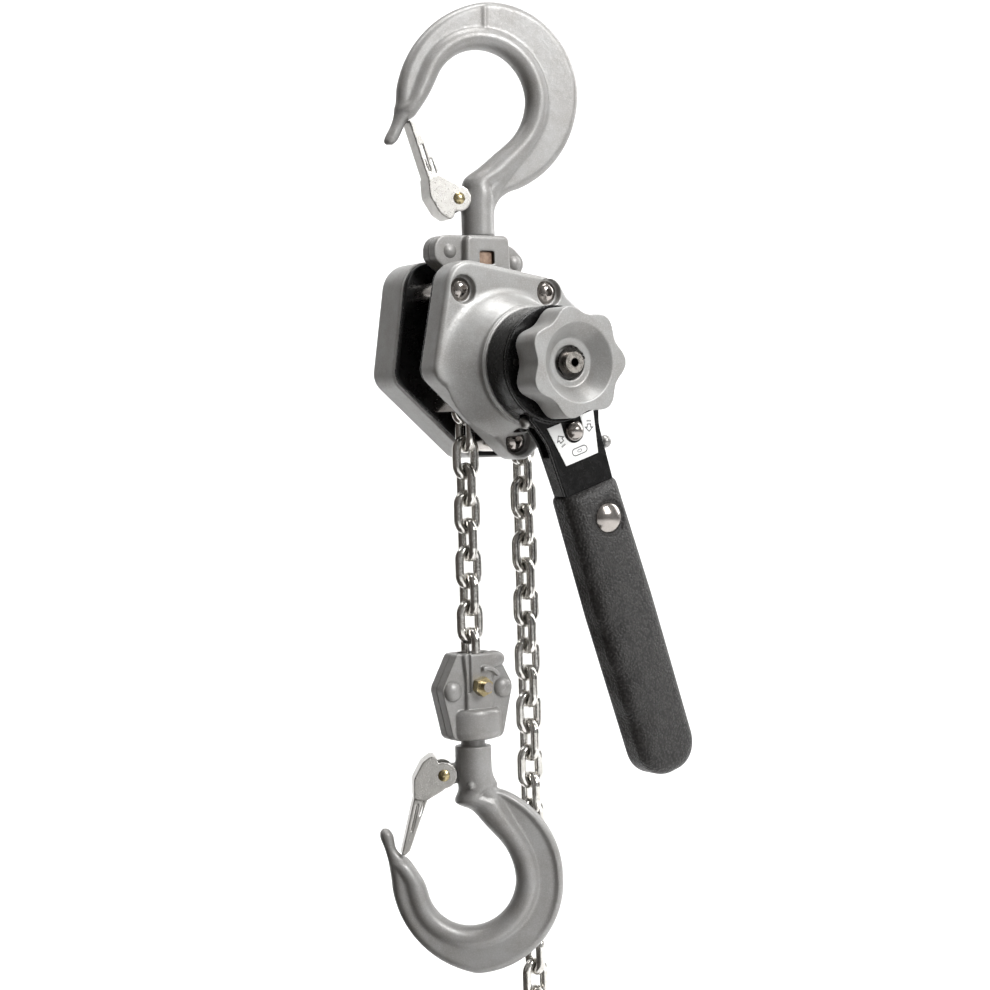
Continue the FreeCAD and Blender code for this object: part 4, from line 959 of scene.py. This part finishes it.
def arrow(x, s, degrees, size):
    """Outline of a block arrow with its middle there, turned by that much."""
    shape = [(0, -1), (0.95, -0.1), (0.45, -0.1), (0.45, 0.55), (-0.45, 0.55), (-0.45, -0.1),
             (-0.95, -0.1)]
    c, d = math.cos(math.radians(degrees)), math.sin(math.radians(degrees))
    return [(x + size * (a * c - b * d), s + size * (a * d + b * c)) for a, b in shape]


def capsule(x, s, half_length, radius):
    """Outline with round ends."""
    angles = np.radians(np.linspace(-90, 90, 9))
    right = [(x + half_length + radius * math.cos(a), s + radius * math.sin(a)) for a in angles]
    left = [(x - half_length - radius * math.cos(a), s - radius * math.sin(a)) for a in angles]
    return right + left


def bar(x, s, degrees, half_length, half_width):
    """Outline of a straight bar turned by that much."""
    c, d = math.cos(math.radians(degrees)), math.sin(math.radians(degrees))
    corners = [(-half_length, -half_width), (half_length, -half_width), (half_length, half_width),
               (-half_length, half_width)]
    return [(x + a * c - b * d, s + a * d + b * c) for a, b in corners]


stroke("mark_raise", arrow(-7.6, 31.2, -18, 2.0))
stroke("mark_raise_foot", bar(-7.1, 33.9, -18, 1.0, 0.2), 0.12)
stroke("mark_lower", arrow(7.9, 30.6, 198, 2.0))
stroke("mark_lower_foot", bar(8.6, 28.2, 18, 1.0, 0.2), 0.12)
stroke("mark_free", capsule(0, 38.6, 2.4, 1.5))
stroke("mark_free_core", capsule(0, 38.6, 0.6, 0.5), 0.14)

# ------------------------------------------------------------------ stage

# Name: place, size, watts, target.
MIDDLE = (0, 0, -0.2)
LIGHTS = {
    "key": ((0.45, -1.45, 0.75), (0.6, 0.8), 33, MIDDLE),
    "top": ((0.10, -0.30, 1.3), (0.7, 0.7), 12, MIDDLE),
    "rim": ((1.2, -0.1, 0.45), (0.35, 1.1), 10, MIDDLE),
    "left_strip": ((-1.25, -0.85, 0.1), (0.10, 1.2), 0.9, MIDDLE),
    "backdrop_light": ((-0.3, 0.25, 1.35), (1.6, 0.6), 24, (0.75, 1.5, -0.1)),
}
LEFT, NEAR, FAR = -0.34, -0.42, 0.42
FOOT = cad_box[0].z - 0.015
FLAG_TOP = 0.30
FLAG_RIGHT = -0.05
FLOOR_DROP = 0.02
FLOOR_FRONT = -2.2
FLOOR_HALF = 3.5
WORLD_STRENGTH = 0.55


def studio():
    """Pale floor that sweeps up into a backdrop."""
    low = cad_box[0].z - FLOOR_DROP
    depth, rise, sweep = 1.5, 2.4, 0.5
    profile = [(FLOOR_FRONT, 0.0), (depth - sweep, 0.0)]
    profile += [(depth - sweep + sweep * math.sin(a), sweep - sweep * math.cos(a))
                for a in np.linspace(0, math.pi / 2, 16)[1:]]
    profile.append((depth, rise))
    mesh = bmesh.new()
    back = view_back()
    side = Vector((-back.y, back.x, 0)).normalized()
    away = Vector((-back.x, -back.y, 0)).normalized()
    rows = []
    for reach, height in profile:
        middle = away * reach + Vector((0, 0, low + height))
        rows.append([mesh.verts.new(middle + side * s) for s in (-FLOOR_HALF, FLOOR_HALF)])
    for first, second in zip(rows, rows[1:]):
        mesh.faces.new((first[0], first[1], second[1], second[0]))
    data = bpy.data.meshes.new("floor")
    mesh.to_mesh(data)
    data.shade_smooth()
    floor = bpy.data.objects.new("floor", data)
    bpy.context.scene.collection.objects.link(floor)
    shader = Shader("floor", (0.90, 0.90, 0.90), 0.0, 0.8)
    shader.colour(shader.mix(shader.noise(0.2, 3), (0.89, 0.89, 0.89), (0.92, 0.92, 0.92)))
    data.materials.append(shader.material)


def view_back():
    """Unit vector from the target to the camera."""
    a = math.radians(CAMERA_AZIMUTH)
    e = math.radians(CAMERA_ELEVATION)
    return Vector((math.sin(a) * math.cos(e), -math.cos(a) * math.cos(e), math.sin(e)))


def camera():
    data = bpy.data.cameras.new("camera")
    data.lens = CAMERA_LENS
    data.sensor_width = CAMERA_SENSOR
    data.clip_start, data.clip_end = CAMERA_CLIP
    lens = bpy.data.objects.new("camera", data)
    bpy.context.scene.collection.objects.link(lens)
    back = view_back()
    right = Vector((math.cos(math.radians(CAMERA_AZIMUTH)), math.sin(math.radians(CAMERA_AZIMUTH)), 0))
    up = back.cross(right)
    r = math.radians(CAMERA_ROLL)
    x = right * math.cos(r) - up * math.sin(r)
    y = up * math.cos(r) + right * math.sin(r)
    turn = Matrix((x, y, back)).transposed().to_4x4()
    lens.matrix_world = Matrix.Translation(CAMERA_TARGET + back * CAMERA_DISTANCE) @ turn
    bpy.context.scene.camera = lens


def area_light(name, place, size, power, target):
    data = bpy.data.lights.new(name, "AREA")
    data.shape = "RECTANGLE"
    data.size, data.size_y = size
    data.energy = power
    light = bpy.data.objects.new(name, data)
    bpy.context.scene.collection.objects.link(light)
    light.location = place
    light.rotation_euler = (Vector(target) - Vector(place)).to_track_quat("-Z", "Y").to_euler()


def black_flag(name, corners):
    """A matt black card that dims what one side of the object reflects.

    It is in the camera's field of view, so it is hidden from the camera. It casts no shadow.
    """
    data = mesh_of(name, corners, [(0, 1, 2, 3)])
    card = bpy.data.objects.new(name, data)
    bpy.context.scene.collection.objects.link(card)
    shader = Shader(name, (0.02, 0.018, 0.016), 0.0, 0.9)
    shader.colour(shader.mix(shader.noise(0.05, 3), (0.035, 0.030, 0.027), (0.055, 0.048, 0.043)))
    data.materials.append(shader.material)
    card.visible_camera = False
    card.visible_shadow = False


def world():
    """Soft surroundings: pale on the object's right as the camera sees it at rest, dim on its left."""
    made = bpy.data.worlds.new("world")
    made.use_nodes = True
    tree = made.node_tree
    sky = tree.nodes["Background"]
    where = tree.nodes.new("ShaderNodeTexCoord")
    across = tree.nodes.new("ShaderNodeVectorMath")
    across.operation = "DOT_PRODUCT"
    across.inputs[1].default_value = (0.85, -0.50, 0.25)
    tree.links.new(where.outputs["Generated"], across.inputs[0])
    share = tree.nodes.new("ShaderNodeMapRange")
    share.inputs["From Min"].default_value = -0.7
    share.inputs["From Max"].default_value = 0.9
    tree.links.new(across.outputs["Value"], share.inputs["Value"])
    tint = tree.nodes.new("ShaderNodeMix")
    tint.data_type = "RGBA"
    tint.inputs[6].default_value = (0.085, 0.075, 0.068, 1)
    tint.inputs[7].default_value = (0.80, 0.80, 0.80, 1)
    tree.links.new(share.outputs["Result"], tint.inputs["Factor"])
    tree.links.new(tint.outputs[2], sky.inputs["Color"])
    sky.inputs["Strength"].default_value = WORLD_STRENGTH
    bpy.context.scene.world = made


bpy.context.scene.view_settings.view_transform = "Standard"
studio()
camera()
world()
for name, facts in LIGHTS.items():
    area_light(name, *facts)
black_flag("flag_left", [(LEFT, NEAR, FOOT), (LEFT, FAR, FOOT), (LEFT, FAR, FLAG_TOP),
                         (LEFT, NEAR, FLAG_TOP)])
black_flag("flag_low", [(LEFT, NEAR, FOOT), (FLAG_RIGHT, NEAR, FOOT), (FLAG_RIGHT, FAR, FOOT),
                        (LEFT, FAR, FOOT)])
